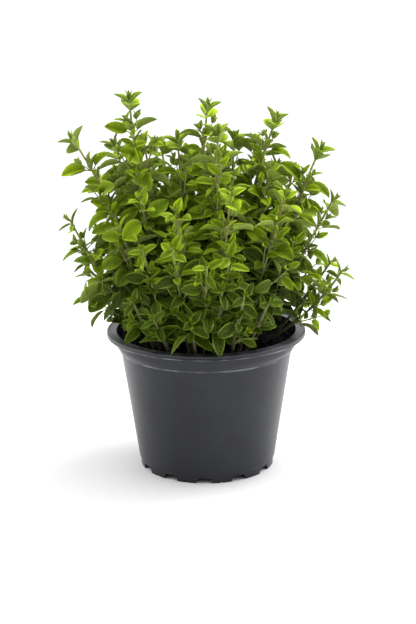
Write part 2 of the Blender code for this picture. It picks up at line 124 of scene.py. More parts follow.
# Soil: finer forms
SOIL_RINGS = 46
SOIL_SIDES = 150
LUMP_SIZE = 3.5 * MM
LUMP_HEIGHT = 0.9 * MM
CRUMBS = 1500
CRUMB_SIZE = (0.35 * MM, 1.1 * MM)
CRUMB_EDGE = 1.5 * MM

# Stems and leaves: the part's sizes, young (first value) to full-grown (second value)
STEM_FOOT_RADIUS = 1.4 * MM
STEM_TIP_RADIUS = 0.85 * MM
ROOTED = 9.0 * MM
LONG_STEM = 120.0 * MM
SHORT_STEM_GIRTH = 0.75
SHORT_STEM_LEAF = 0.82
LEAF_LENGTH = (11.5 * MM, 18.0 * MM)
LEAF_WIDTH = (5.4 * MM, 11.4 * MM)
LEAF_PETIOLE = (0.8 * MM, 5.5 * MM)
LEAF_LEAN = (34.0, 64.0)
LEAF_ARCH = (12.0, 50.0)
LEAF_FOLD = (28.0, 14.0)
LEAF_ROLL = 28.0
SKYWARD = 0.35
OUTWARD = 0.55
OUTWARD_REACH = 70.0 * MM
GROWN_AT = 28.0 * MM
FIRST_PAIR = 1.0 * MM
SECOND_PAIR = 6.5 * MM
PAIR_SPACING = (13.5 * MM, 19.0 * MM)
MOST_PAIRS = 7
FEWEST_PAIRS = 3
STEM_PER_PAIR = 26.0 * MM
LEAVES_START = 13.0 * MM
LENGTH_SCATTER = (0.9, 1.08)
WIDTH_SCATTER = (0.92, 1.06)
ARCH_SCATTER = (0.5, 1.4)
TURN_SCATTER = (-10, 10)
LEAN_SCATTER = (-9, 12)
TRIES = ((0, 0), (16, 0), (-16, 0), (0, 12), (0, -12), (30, 6), (-30, 6), (30, -10), (-30, -10),
         (46, 0), (-46, 0), (20, 24), (-20, 24))

# Stems that the photograph shows, in millimetres and degrees:
# foot x, y in the soil's surface; tip x, y, z; outward bow at mid-length; turn of the first leaf pair
SHOWN_STEMS = (
    (-19, -18, -50, -12, 260, 5, 0),
    (-32, -22, -88, -5, 232, -8, 0),
    (-36, -8, -92, -10, 178, 3, 10),
    (-35, 16, -61, 25, 221, 0, 50),
    (-10, -16, -18, -8, 232, 0, 15),
    (-20, 12, -42, 22, 226, 0, 70),
    (-3, 6, 2, 5, 252, -3, 5),
    (6, -26, 9, -24, 239, 0, 10),
    (11, 4, 48, 5, 243, -4, 0),
    (24, -5, 78, 0, 223, -1, 15),
    (30, -19, 87, -8, 190, 0, 25),
    (38, -6, 94, -10, 141, 5, 10),
    (34, 14, 62, 30, 204, 0, 60),
    (17, -12, 44, -8, 211, 0, 35),
    (12, 20, 21, 38, 225, 0, 40),
    (22, 14, 35, 30, 224, 0, 75),
    (4, -36, 17, -58, 204, 0, 30),
    (22, -29, 53, -40, 199, 0, 45),
    (-2, -43, 1, -84, 163, 0, 20),
    (11, -39, 15, -74, 167, 0, 65),
    (5, -49, 11, -78, 148, 0, 0),
    (16, -48, 25, -76, 141, 0, 50),
    (25, -40, 41, -62, 132, 0, 25),
    (-11, -42, -21, -76, 173, 0, 40),
    (-24, -33, -41, -58, 168, 0, 10),
    (-34, -30, -48, -52, 131, 0, 55),
    (-23, -44, -34, -66, 123, 0, 30),
    (-6, -51, -9, -68, 116, 0, 75),
    (-36, -17, -57, -30, 179, 0, 20),
    (-9, -30, -19, -60, 193, 0, 60),
)

# Stems that the photograph hides: count, foot and tip distance from the axis, tip height, first and
# last direction in degrees
BACK_ROWS = (
    (6, 46.0, 86.0, 150.0, 4.0, 172.0),
    (6, 34.0, 77.0, 196.0, 18.0, 160.0),
    (3, 13.0, 50.0, 216.0, 80.0, 132.0),
)
BACK_SEED = 7
BACK_ANGLE_SCATTER = 4
BACK_FOOT_SCATTER = 2
BACK_TIP_SCATTER = 4
BACK_HEIGHT_SCATTER = 7
BACK_BOW = (-2, 4)

# Finer stems: this share of the part's thickness between leaf pairs and all of it at each pair, and
# an end that runs on past the tip, its length in millimetres
BETWEEN_PAIRS = 0.8
PAIR_SWELL = 1.6 * MM
STEM_STEP = 4.0 * MM
STEM_SIDES = 8
END_LENGTH = 2.5
END_RADIUS = 0.3 * MM

# Room that leaves need: between them, over the soil, and round the pot's rim
LEAF_ROOM = 1.6 * MM
ROOM_CELL = 1.7 * MM
NEIGHBOURS = list(itertools.product((-1, 0, 1), repeat=3))
LOWEST_LEAF = SOIL_TOP + 1.5 * MM
CLEAR_FROM = 38.0 * MM
CLEAR_SLOPE = 0.55
OVER_RIM = POT_HEIGHT + 0.8 * MM
ROUND_RIM = (COLLAR_TOP_RADIUS - 3 * MM, RIM_RADIUS + 1.5 * MM)

# Where a blade is tested for room: share of its length and of its half width
TEST_MARKS = ((0.3, 0.0), (0.35, 0.6), (0.35, -0.6), (0.65, 0.5), (0.65, -0.5), (0.97, 0.0))

# Finer leaves. A leaf is the solid's own where their tips lie this close
SAME_PLACE = 0.8 * MM
BLADE_THICKNESS = 0.36 * MM
MARGIN_ANGLE = math.radians(100)
RIB_RADIUS = 0.42 * MM
RIB_REACH = 0.7
SHORTEST_RIBBED = 7.5 * MM
SWAY = 0.06
TWIST = 16
TWIST_FROM = 0.2
WAVE = (0.0, 0.35)
WAVES = 9.0
WAVE_SHIFT = 20

# Powers that shape the outline at the blade's foot and tip, for the palest and the darkest leaf
OUTLINES = ((0.6, 0.5), (0.95, 0.72))
OUTLINE_SCATTER = (0.92, 1.1)

# Turn of the blades towards the light, young to full-grown: share of the way and scatter in degrees.
# The light comes more from above for higher leaves
TURN_OUT = (0.0, 0.45)
TURN_SPREAD = (12, 66)
SPREAD_BY_AGE = 1.6
LEAST_TURN = 0.2
MOST_TURN_OUT = math.radians(62)
LIGHT_FROM = 112.0 * MM
LIGHT_RISE = 0.6
LEAST_RISE = 12.0 * MM

# Tone, from 0 for pale leaves to 1 for dark ones: what age and distance down the stem add, and painted
# shade in low places, in low rosettes and in buds. The distance down the stem is partly age and partly
# painted shade deep in the plant. Pairs of heights say where low places begin and count in full. The
# painted shade fades between two distances out to each side of the plant
AGE_TONE = 0.42
DEPTH_TONE = 0.15
OLD_AT = 130.0 * MM
LOW_PAINTED_SHADE = 0.5
LOW_PLACES = (165.0 * MM, 105.0 * MM)
LOW_SHADE = 0.7
ROSETTE_SHADE = 0.35
BUD_SHADE = 0.35
SHADED_FROM = (180.0 * MM, 135.0 * MM)
UNSHADED_SIDES = (32.0 * MM, 78.0 * MM)

# Rosettes. The first value is for tips at the first height and above, the second for those at the
# second and below, which open flat: extra lean and width of the first two pairs, width of the leaves
# below them, size of the bud, tilt out of the plant. The folds, on high and on low stems, are for
# young and full-grown leaves
ROSETTE_HEIGHTS = (215.0 * MM, 165.0 * MM)
ROSETTE_OPENING = ((8, 14), (30, 22))
ROSETTE_WIDTH = ((1.45, 2.0), (0.98, 0.9))
GROWN_WIDTH = (0.93, 0.86)
BUD_SIZE = (0.95, 0.72)
ROSETTE_TILT = (0.0, 0.65)
CROWN_FOLD = (34, 30)
LOW_FOLD = (26, 15)

# Degrees by which a leaf is lifted, in this order, until it stays in its room
LIFTS = (0, 10, 20, 30, 40)

# Pairs of small leaves in a bud: height over the tip, lean, length, width, age, in millimetres and
# degrees
BUD_PAIRS = ((0.4, 21.0, 8.8, 3.2, 0.08), (1.4, 12.0, 7.4, 2.5, 0.03), (2.6, 6.0, 5.6, 1.8, 0.0))
BUD_LENGTH_SCATTER = (0.88, 1.1)
SHOOT_BUD = 0.7

# Small leaves of buds and side shoots, young to full-grown
SMALL_ARCH = (8.0, 42.0)
SMALL_ARCH_SCATTER = (0.6, 1.4)
SMALL_FOLD = (32.0, 16.0)
SMALL_TONE = 0.8
BUD_PETIOLE = 0.08

# Hairs on the stems
HAIRS_PER_STEM = 240
HAIR_PLACES = (0.03, 0.97)
HAIR_LENGTH = (0.5 * MM, 1.1 * MM)
HAIR_SLANT = (-0.5, 0.5)
HAIR_RADIUS = 0.07 * MM

# Side shoots: length from the first value near the tip to the second far down the stem, and the
# leaves on them, young to full-grown
SHOOT_LENGTH = (5.5 * MM, 54.0 * MM)
SHOOT_FULL_AT = 110.0 * MM
SHOOT_LENGTH_SCATTER = (0.45, 1.15)
SHORTER_OUTSIDE = 0.25
OUTSIDE = (40.0 * MM, 75.0 * MM)
SHOOT_SHORTENED = (1.0, 0.8, 0.55, 0.35)
SHOOT_LEAN = (14, 40)
SHOOT_SIZE = (0.8, 1.05)
SHOOT_SPACING = (7.0 * MM, 11.5 * MM)
SHOOT_RADIUS = 0.5 * MM
SHOOT_PLACES = (0.0, 0.35, 0.7, 1.0)
SHORTEST_TUBE = 3.0 * MM
SHOOT_LEAF = (7.5 * MM, 17.0 * MM)
SHOOT_LEAF_SCATTER = (0.85, 1.12)
SHOOT_LEAF_WIDTH = (0.45, 0.6)
SHOOT_LEAF_LEAN = (36.0, 66.0)
SHOOT_PETIOLE = (0.06, 0.24)

# Extra turn in degrees and size of a shoot's leaf, tried in this order until it has room
SHOOT_TRIES = ((0, 1.0), (28, 1.0), (-28, 1.0), (0, 0.75), (50, 0.8))

# Veins on a blade: side veins to its length, their slant, and the widths of side vein and midrib
SIDE_VEINS = 5.5
VEIN_SLANT = 1.25
SIDE_VEIN_WIDTH = 0.16
MIDRIB_WIDTH = 0.13

# Bark: colour at shares of a long stem's height: painted shade at the foot, then olive, reddish below the
# tip and green at it
BARK_WITH_SHADED_FOOT = ((0.0, (0.035, 0.03, 0.012)), (0.14, (0.09, 0.085, 0.027)), (0.35, (0.15, 0.17, 0.042)),
        (0.65, (0.22, 0.25, 0.055)), (0.86, (0.22, 0.175, 0.042)), (1.0, (0.24, 0.30, 0.045)))

# Camera: the photograph's view, from its frame of 416 by 624 pixels
PHOTO_HEIGHT = 624
FOCAL_PIXELS = 1533.0
SENSOR_HEIGHT = 36.0
CAMERA_PLACE = (1.4 * MM, -1041 * MM, 395.5 * MM)
CAMERA_PITCH = math.radians(90 - 15.32)
CAMERA_ROLL = math.radians(-0.5)

# Light: the room's strength round the horizon and overhead, how many times stronger it is at its two
# sides, the share of it that comes from the front, and the key light above and behind to the right
ROOM_LIGHT = 1.2
OVERHEAD_LIGHT = 2.7
LEFT_SHARE = 2.1
RIGHT_SHARE = 2.5
FRONT_SHARE = 0.38
KEY_PLACE = (0.5, 0.3, 1.25)
KEY_TARGET = (0, 0, 0.12)
KEY_SIZE = 0.9
KEY_POWER = 14.0
FLOOR_SHADE = 0.61
FLOOR_REACH = 0.45


def mix(pair, share):
    return pair[0] + (pair[1] - pair[0]) * share


def scatter(draw, most):
    return draw.uniform(-most, most)


def from_to(value, ends):
    """0 at the first end and before it, 1 at the second and after it."""
    return min(1.0, max(0.0, (value - ends[0]) / (ends[1] - ends[0])))


def on_arc(start, middle, end, share):
    """A point on the arc that leaves start towards middle and reaches end from there."""
    rest = 1.0 - share
    return start * rest ** 2 + middle * (2 * share * rest) + end * share ** 2


def away_from(axis, turn):
    """The direction square to an axis, at an angle about it."""
    right = (Vector((1, 0, 0)) - axis * axis.x).normalized()
    return right * math.cos(turn) + axis.cross(right) * math.sin(turn)


def new_object(name, data, collection=None):
    body = bpy.data.objects.new(name, data)
    (collection or bpy.context.scene.collection).objects.link(body)
    return body


class Stem:
    """One stem's centre line, a smooth arc from its foot in the soil's surface to its tip."""

    def __init__(self, number, foot_x, foot_y, tip_x, tip_y, tip_z, bow, turn):
        self.name = f"stem_{number:02d}"
        self.seed = number
        self.turn = turn
        self.foot = Vector((foot_x * MM, foot_y * MM, SOIL_TOP))
        self.tip = Vector((tip_x * MM, tip_y * MM, tip_z * MM))
        chord = self.tip - self.foot
        outward = Vector((chord.x, chord.y, 0.0)).normalized()
        along = chord.normalized()
        across = (outward - along * outward.dot(along)).normalized()
        self.middle = (self.foot + self.tip) / 2 + across * (2 * bow * MM)
        self.length = chord.length

    def point(self, share):
        return on_arc(self.foot, self.middle, self.tip, share)

    def direction(self, share):
        rest = 1.0 - share
        return ((self.middle - self.foot) * rest + (self.tip - self.middle) * share).normalized()

    def radius(self, share):
        foot_radius = STEM_FOOT_RADIUS * self.growth(SHORT_STEM_GIRTH)
        return foot_radius + (STEM_TIP_RADIUS - foot_radius) * share

    def growth(self, smallest):
        """Size factor that falls from 1 on a long stem towards the smallest on a short one."""
        return smallest + (1 - smallest) * min(1.0, self.length / LONG_STEM)


class Blade:
    """A leaf's place and sizes: it leaves base along out, faces face, and bends away from it."""

    turn_out = sway = twist = wave = 0.0
    tone = shade = 0.5

    def __init__(self, base, axis):
        self.base = base
        self.axis = axis

    def aim(self, extra_turn, extra_lean):
        """Away from the stem's foot, and turned to the light above and outside the plant."""
        self.extra = (extra_turn, extra_lean)
        away = away_from(self.axis, self.turn + math.radians(extra_turn))
        lean = self.lean + math.radians(extra_lean)
        self.out = self.axis * math.cos(lean) + away * math.sin(lean)
        light = Vector((self.base.x, self.base.y, 0.0)) * (OUTWARD / OUTWARD_REACH)
        light.z = SKYWARD
        face = self.axis * math.sin(lean) - away * math.cos(lean) + light
        face = (face - self.out * face.dot(self.out)).normalized()
        self.face = face * math.cos(self.roll) + self.out.cross(face) * math.sin(self.roll)
        self.side = self.out.cross(self.face)

    def frame(self, along):
        """Point on the midrib and the face's normal there, at a distance from the stem's middle."""
        bend = self.arch * along / (self.petiole + self.blade)
        radius = (self.petiole + self.blade) / self.arch
        point = self.base + self.out * (radius * math.sin(bend))
        point = point - self.face * (radius * (1 - math.cos(bend)))
        return point, self.face * math.cos(bend) + self.out * math.sin(bend)

    def tip(self):
        return self.frame(self.petiole + self.blade)[0]

    def show_face(self, share, most_scatter, draw):
        """Rolls the blade about its midrib, which stays, to turn its face up and out of the plant."""
        point, normal = self.frame(self.petiole + self.blade / 2)
        rise = max(LEAST_RISE, LIGHT_RISE * (point.z - LIGHT_FROM))
        outward = Vector((point.x, point.y, rise)).normalized()
        roll = math.atan2(-outward.dot(self.side), outward.dot(normal)) * share
        roll += math.radians(draw.choice((-1, 1)) * draw.uniform(LEAST_TURN, 1.0) * most_scatter)
        self.turn_out = max(-MOST_TURN_OUT, min(MOST_TURN_OUT, roll))

    def section(self, share):
        """Point on the midrib at a share of the blade, and the blade's side and face there."""
        point, normal = self.frame(self.petiole + self.blade * share)
        turned_side = self.side * math.cos(self.turn_out) + normal * math.sin(self.turn_out)
        turned_face = normal * math.cos(self.turn_out) - self.side * math.sin(self.turn_out)
        return point, turned_side, turned_face

    def marks(self):
        """Points spread over the blade, for the test against other blades."""
        marks = []
        for share, across in TEST_MARKS:
            point, side, face = self.section(share)
            marks.append(point + side * (self.width / 2 * across))
        return marks


def planned_leaf(stem, distance, side_turn, draw):
    """A leaf as the part plans it. The draws come in the part's own order."""
    share = 1.0 - distance / stem.length
    leaf = Blade(stem.point(share), stem.direction(share))
    leaf.distance = distance
    leaf.age = min(1.0, distance / GROWN_AT)
    size = stem.growth(SHORT_STEM_LEAF) * draw.uniform(*LENGTH_SCATTER)
    leaf.blade = mix(LEAF_LENGTH, leaf.age) * size
    leaf.width = mix(LEAF_WIDTH, leaf.age) * size * draw.uniform(*WIDTH_SCATTER)
    leaf.petiole = mix(LEAF_PETIOLE, leaf.age) * size
    leaf.arch = math.radians(mix(LEAF_ARCH, leaf.age) * draw.uniform(*ARCH_SCATTER))
    leaf.fold = math.tan(math.radians(mix(LEAF_FOLD, leaf.age)))
    leaf.turn = math.radians(side_turn + draw.uniform(*TURN_SCATTER))
    leaf.lean = math.radians(mix(LEAF_LEAN, leaf.age) + draw.uniform(*LEAN_SCATTER))
    leaf.roll = math.radians(draw.uniform(-LEAF_ROLL, LEAF_ROLL) * leaf.age)
    leaf.aim(0, 0)
    return leaf


def back_stems(first_number):
    draw = random.Random(BACK_SEED)
    stems = []
    for count, foot_reach, tip_reach, height, first, last in BACK_ROWS:
        for place in range(count):
            even = first + (last - first) * place / (count - 1)
            angle = math.radians(even + scatter(draw, BACK_ANGLE_SCATTER))
            foot = foot_reach + scatter(draw, BACK_FOOT_SCATTER)
            tip = tip_reach + scatter(draw, BACK_TIP_SCATTER)
            tip_height = height + scatter(draw, BACK_HEIGHT_SCATTER)
            stems.append(Stem(first_number + len(stems),
                              foot * math.cos(angle), foot * math.sin(angle),
                              tip * math.cos(angle), tip * math.sin(angle),
                              tip_height, draw.uniform(*BACK_BOW), draw.uniform(0, 90)))
    return stems


def all_stems():
    shown = [Stem(number, *row) for number, row in enumerate(SHOWN_STEMS, start=1)]
    return shown + back_stems(len(shown) + 1)


def planned_pairs(stem):
    """Pairs of leaves from the tip down to the soil. The part's solids hold the first of them."""
    draw = random.Random(stem.seed)
    in_solid = max(FEWEST_PAIRS, min(MOST_PAIRS, round(stem.length / STEM_PER_PAIR)))
    pairs = []
    distance = FIRST_PAIR
    while stem.length - distance >= LEAVES_START:
        pair = len(pairs)
        leaves = [planned_leaf(stem, distance, stem.turn + 90 * pair + side, draw) for side in (0, 180)]
        for leaf in leaves:
            leaf.pair = pair
            leaf.in_solid = pair < in_solid
        pairs.append(leaves)
        distance = SECOND_PAIR if pair == 0 else distance + draw.uniform(*PAIR_SPACING)
    return pairs


class Crowd:
    """Where leaves lie already, in a grid of small cells."""

    def __init__(self):
        self.cells = {}

    def cell(self, point):
        return tuple(math.floor(value / ROOM_CELL) for value in point)

    def add(self, points, owner):
        for point in points:
            self.cells.setdefault(self.cell(point), []).append((point, owner))

    def is_free(self, points, owner):
        for point in points:
            x, y, z = self.cell(point)
            for a, b, c in NEIGHBOURS:
                for other, other_owner in self.cells.get((x + a, y + b, z + c), ()):
                    if other_owner != owner and (other - point).length < LEAF_ROOM:
                        return False
        return True


def inside_room(points):
    """Whether points stay over the soil, off the pot and within the solids' box."""
    low, high = cad_bounds
    for point in points:
        reach = math.hypot(point.x, point.y)
        if any(not low[axis] < point[axis] < high[axis] for axis in range(3)):
            return False
        if point.z < LOWEST_LEAF + max(0.0, reach - CLEAR_FROM) * CLEAR_SLOPE and reach < RIM_RADIUS:
            return False
        if point.z < OVER_RIM and ROUND_RIM[0] < reach < ROUND_RIM[1]:
            return False
    return True


class Skin:
    """Gathers the points and faces of one piece, with the material and two UV pairs of each."""

    def __init__(self, name):
        self.name = name
        self.points = []
        self.faces = []
        self.kinds = []
        self.blade_uv = []
        self.traits = []
        self.count = 0

    def add(self, points, faces, kinds, blade_uv, traits):
        self.points.append(points)
        self.faces += [tuple(index + self.count for index in face) for face in faces]
        self.kinds += kinds
        self.blade_uv.append(blade_uv)
        self.traits.append(np.tile(traits, (len(points), 1)) if np.ndim(traits) == 1 else traits)
        self.count += len(points)

    def make(self, materials):
        mesh = bpy.data.meshes.new(self.name)
        mesh.from_pydata(np.clip(np.concatenate(self.points), *cad_bounds), [], self.faces)
        mesh.polygons.foreach_set("material_index", self.kinds)
        mesh.polygons.foreach_set("use_smooth", [True] * len(self.faces))
        corners = np.zeros(len(mesh.loops), dtype=np.int32)
        mesh.loops.foreach_get("vertex_index", corners)
        for name, values in (("blade", self.blade_uv), ("traits", self.traits)):
            layer = mesh.uv_layers.new(name=name)
            layer.data.foreach_set("uv", np.concatenate(values)[corners].astype(np.float32).ravel())
        mesh.set_sharp_from_angle(angle=MARGIN_ANGLE)
        for material in materials:
            mesh.materials.append(material)
        return new_object(self.name, mesh)


UPPER, UNDER, BARK_KIND, HAIR = 0, 1, 2, 3


class BladeGrid:
    """Shares along and across a blade, and the faces of a closed thin skin over them."""

    def __init__(self, rows, across):
        self.along = np.array([(1 - math.cos(math.pi * (row + 1) / (rows + 1))) / 2 for row in range(rows)])
        self.across = np.array(across)
        columns = len(across)

        def top(row, column):
            return 2 + row * columns + column

        def under(row, column):
            if column in (0, columns - 1):
                return top(row, column)
            return 2 + rows * columns + row * (columns - 2) + column - 1

        self.faces, self.kinds = [], []
        for side, kind in ((top, UPPER), (under, UNDER)):
            faces = []
            for column in range(columns - 1):
                faces.append((0, side(0, column + 1), side(0, column)))
                faces.append((side(rows - 1, column), side(rows - 1, column + 1), 1))
                for row in range(rows - 1):
                    faces.append((side(row, column), side(row, column + 1),
                                  side(row + 1, column + 1), side(row + 1, column)))
            if kind == UNDER:
                faces = [face[::-1] for face in faces]
            self.faces += faces
            self.kinds += [kind] * len(faces)
        share, place = np.meshgrid(self.along, self.across, indexing="ij")
        top_uv = np.stack([0.5 + 0.5 * place, share], axis=-1)
        ends = [[0.5, 0.0], [0.5, 1.0]]
        self.uv = np.concatenate([ends, top_uv.reshape(-1, 2), top_uv[:, 1:-1].reshape(-1, 2)])


# Shortest blade that each grid serves
GRIDS = (
    (11.5 * MM, BladeGrid(7, (-1.0, -0.66, -0.28, 0.0, 0.28, 0.66, 1.0))),
    (7.5 * MM, BladeGrid(5, (-1.0, -0.55, 0.0, 0.55, 1.0))),
    (5.4 * MM, BladeGrid(4, (-1.0, -0.55, 0.0, 0.55, 1.0))),
    (0.0, BladeGrid(3, (-1.0, 0.0, 1.0))),
)


def add_blade(skin, leaf, grid, outline):
    """A closed thin blade: ovate, folded along its sunken midrib, margins turned down."""
    rise, fall = outline
    peak = (rise / (rise + fall)) ** rise * (fall / (rise + fall)) ** fall
    share = grid.along
    half = leaf.width / 2 * share ** rise * (1 - share) ** fall / peak
    out, face, side, base = (np.array(v) for v in (leaf.out, leaf.face, leaf.side, leaf.base))
    length = leaf.petiole + leaf.blade
    bend = leaf.arch * (leaf.petiole + leaf.blade * share) / length
    radius = length / leaf.arch
    centre = (base + np.outer(radius * np.sin(bend), out) - np.outer(radius * (1 - np.cos(bend)), face)
              + np.outer(leaf.sway * share ** 2, side))
    normal = np.outer(np.cos(bend), face) + np.outer(np.sin(bend), out)
    turn = leaf.turn_out + leaf.twist * (share - TWIST_FROM)
    side_now = np.outer(np.cos(turn), side) + normal * np.sin(turn)[:, None]
    normal_now = normal * np.cos(turn)[:, None] - np.outer(np.sin(turn), side)

    across = grid.across
    lift = np.outer(half * leaf.fold, 2 * abs(across) - across ** 2)
    lift += leaf.wave * np.outer(np.sin(share * WAVES + leaf.shade * WAVE_SHIFT), abs(across) ** 3)
    middle = (centre[:, None, :] + side_now[:, None, :] * np.outer(half, across)[:, :, None]
              + normal_now[:, None, :] * lift[:, :, None])
    thick = np.outer(np.sqrt(np.sin(np.pi * share)), 1 - across ** 2) * (BLADE_THICKNESS / 2)
    top = middle + normal_now[:, None, :] * thick[:, :, None]
    under = (middle - normal_now[:, None, :] * thick[:, :, None])[:, 1:-1]
    start = np.array(leaf.frame(leaf.petiole)[0])
    end = np.array(leaf.tip()) + side * leaf.sway
    points = np.concatenate([[start, end], top.reshape(-1, 3), under.reshape(-1, 3)])
    skin.add(points, grid.faces, grid.kinds, grid.uv, np.array([leaf.tone, leaf.shade]))


def add_tube(skin, centres, radii, sides, traits, first_side=None):
    """A closed tube along a line of centres, with its ends drawn to a point."""
    centres = np.array(centres)
    radii = np.array(radii)
    tangents = np.gradient(centres, axis=0)
    tangents /= np.linalg.norm(tangents, axis=1)[:, None]
    slanted = (0.31, 0.95, 0.07)
    across = np.array(first_side) if first_side is not None else np.cross(tangents[0], slanted)
    rings = []
    angles = np.arange(sides) * (2 * math.pi / sides)
    for centre, tangent, radius in zip(centres, tangents, radii):
        across = across - tangent * across.dot(tangent)
        across /= np.linalg.norm(across)
        second = np.cross(tangent, across)
        rings.append(centre + radius * (np.outer(np.cos(angles), across) + np.outer(np.sin(angles), second)))
    count = len(centres)
    last = count * sides
    points = np.concatenate([*rings, [centres[0] - tangents[0] * radii[0] * 0.5],
                             [centres[-1] + tangents[-1] * radii[-1] * 0.5]])
    faces = []
    for side in range(sides):
        after = (side + 1) % sides
        faces.append((last, after, side))
        faces.append(((count - 1) * sides + side, (count - 1) * sides + after, last + 1))
        for ring in range(count - 1):
            faces.append((ring * sides + side, ring * sides + after,
                          (ring + 1) * sides + after, (ring + 1) * sides + side))
    along = np.concatenate([np.repeat(np.linspace(0, 1, count), sides), [0, 1]])
    around = np.concatenate([np.tile(np.arange(sides) / sides, count), [0.5, 0.5]])
    skin.add(points, faces, [BARK_KIND] * len(faces), np.stack([around, along], axis=1), traits)


def add_hairs(skin, stem, draw):
    """Fine hairs all round the stem: three-sided spikes with their feet inside it."""
    share, turn, length, slant = (np.array([draw.uniform(*ends) for hair in range(HAIRS_PER_STEM)])
                                  for ends in (HAIR_PLACES, (0, math.tau), HAIR_LENGTH, HAIR_SLANT))
    along = [stem.direction(place) for place in share]
    outs = [away_from(axis, angle) for axis, angle in zip(along, turn)]
    feet = [stem.point(place) + out * (stem.radius(place) * 0.6) for place, out in zip(share, outs)]
    feet, outs, along = np.array(feet), np.array(outs), np.array(along)
    around = np.cross(along, outs)
    corners = []
    for angle in (0.0, math.tau / 3, 2 * math.tau / 3):
        corners.append(feet + HAIR_RADIUS * (math.cos(angle) * along + math.sin(angle) * around))
    corners.append(feet + (outs + along * slant[:, None]) * length[:, None])
    points = np.stack(corners, axis=1).reshape(-1, 3)
    faces = []
    for hair in range(HAIRS_PER_STEM):
        a, b, c, tip = range(4 * hair, 4 * hair + 4)
        faces += [(a, b, tip), (b, c, tip), (c, a, tip), (a, c, b)]
    blank = np.full((len(points), 2), 0.5)
    skin.add(points, faces, [HAIR] * len(faces), blank, blank)


def add_rib(skin, leaf, size):
    """The leaf's stalk, which goes on as a raised midrib under the blade."""
    centres, radii = [], []
    stalk = leaf.petiole / leaf.blade
    for share, thick in ((-stalk, 1.15), (-0.4 * stalk, 1.0), (0.05, 0.85), (0.35, 0.55), (RIB_REACH, 0.15)):
        point, side, face = leaf.section(share)
        radius = RIB_RADIUS * size * thick
        centres.append(point - face * radius * 0.6 + leaf.side * leaf.sway * max(0.0, share) ** 2)
        radii.append(radius)
    add_tube(skin, centres, radii, 4, np.array([0.75 - 0.3 * leaf.age, leaf.shade]), leaf.side)


def add_leaf(skin, leaf, draw):
    """A leaf's blade, and its stalk and midrib if it is long enough for them to be seen."""
    leaf.shade = draw.random()
    leaf.sway = scatter(draw, SWAY) * leaf.blade
    leaf.twist = math.radians(scatter(draw, TWIST)) * leaf.age
    leaf.wave = draw.uniform(*WAVE) * MM * leaf.age
    outline = [mix(ends, leaf.tone) * draw.uniform(*OUTLINE_SCATTER) for ends in OUTLINES]
    grid = next(grid for shortest, grid in GRIDS if leaf.blade >= shortest)
    add_blade(skin, leaf, grid, outline)
    if leaf.blade >= SHORTEST_RIBBED:
        add_rib(skin, leaf, min(1.0, leaf.blade / LEAF_LENGTH[1]))


def shaded_middle(point):
    """1 in the plant's middle, front and back, 0 at its two sides, where leaves get no painted shade and
    stay pale.
    """
    return 1.0 - from_to(abs(point.x), UNSHADED_SIDES)


def tone_of(leaf, depth):
    """Leaves are darkest where they are old and far down their stem, with painted shade added low in the
    plant's middle.
    """
    # Painted shade: leaves low in the plant's middle are darkened
    low = LOW_PAINTED_SHADE * from_to(leaf.base.z, LOW_PLACES) + LOW_SHADE * from_to(leaf.base.z, SHADED_FROM)
    return min(1.0, AGE_TONE * leaf.age + DEPTH_TONE * depth + low * shaded_middle(leaf.base))


def small_leaf(base, axis, turn, lean, blade, width, age, draw, petiole_share=BUD_PETIOLE):
    leaf = Blade(base, axis)
    leaf.age = age
    leaf.blade = blade
    leaf.width = width
    leaf.petiole = blade * petiole_share
    leaf.arch = math.radians(mix(SMALL_ARCH, age) * draw.uniform(*SMALL_ARCH_SCATTER))
    leaf.fold = math.tan(math.radians(mix(SMALL_FOLD, age)))
    leaf.turn = math.radians(turn)
    leaf.lean = math.radians(lean)
    leaf.roll = 0.0
    # Painted shade darkens small leaves low in the plant's middle
    leaf.tone = age * SMALL_TONE + BUD_SHADE * from_to(base.z, SHADED_FROM) * shaded_middle(base)
    leaf.aim(0, 0)
    leaf.show_face(mix(TURN_OUT, age), mix(TURN_SPREAD, age), draw)
    return leaf


def add_bud(skin, tip, axis, turn, size, pairs, crowd, owner, draw):
    """The cluster of unfolding leaves in the middle of a rosette."""
    for step, (height, lean, blade, width, age) in enumerate(BUD_PAIRS[:pairs]):
        for side in (0, 180):
            leaf = small_leaf(tip + axis * (height * MM * size), axis,
                              turn + 90 * (step + 1) + side + scatter(draw, 9), lean + scatter(draw, 4),
                              blade * MM * size * draw.uniform(*BUD_LENGTH_SCATTER),
                              width * MM * size, age, draw)
            crowd.add([leaf.tip()], owner)
            add_leaf(skin, leaf, draw)


def shoot_leaves(point, way, length, depth, size, crowd, owner, draw):
    """Pairs of leaves down a side shoot, each where it has room, from its tip to its foot."""
    pairs = max(1, round(length / draw.uniform(*SHOOT_SPACING)))
    first_turn = draw.uniform(0, 90)
    kept = []
    for pair in range(pairs + 1):
        from_tip = pair / (pairs + 0.4)
        base, axis = point(1.0 - from_tip), way(1.0 - from_tip)
        age = min(1.0, 0.1 + from_tip * length / (20 * MM) + 0.25 * depth)
        blade = size * mix(SHOOT_LEAF, age) * draw.uniform(*SHOOT_LEAF_SCATTER)
        for side in (0, 180):
            lean = mix(SHOOT_LEAF_LEAN, age) + scatter(draw, 9)
            for extra, smaller in SHOOT_TRIES:
                leaf = small_leaf(base, axis, first_turn + 90 * pair + side + extra, lean, blade * smaller,
                                  blade * smaller * mix(SHOOT_LEAF_WIDTH, age), age, draw,
                                  mix(SHOOT_PETIOLE, age))
                leaf.tone = tone_of(leaf, depth)
                marks = leaf.marks()
                if inside_room(marks) and crowd.is_free(marks, owner):
                    kept.append(leaf)
                    crowd.add(marks, owner)
                    break
    return kept, first_turn


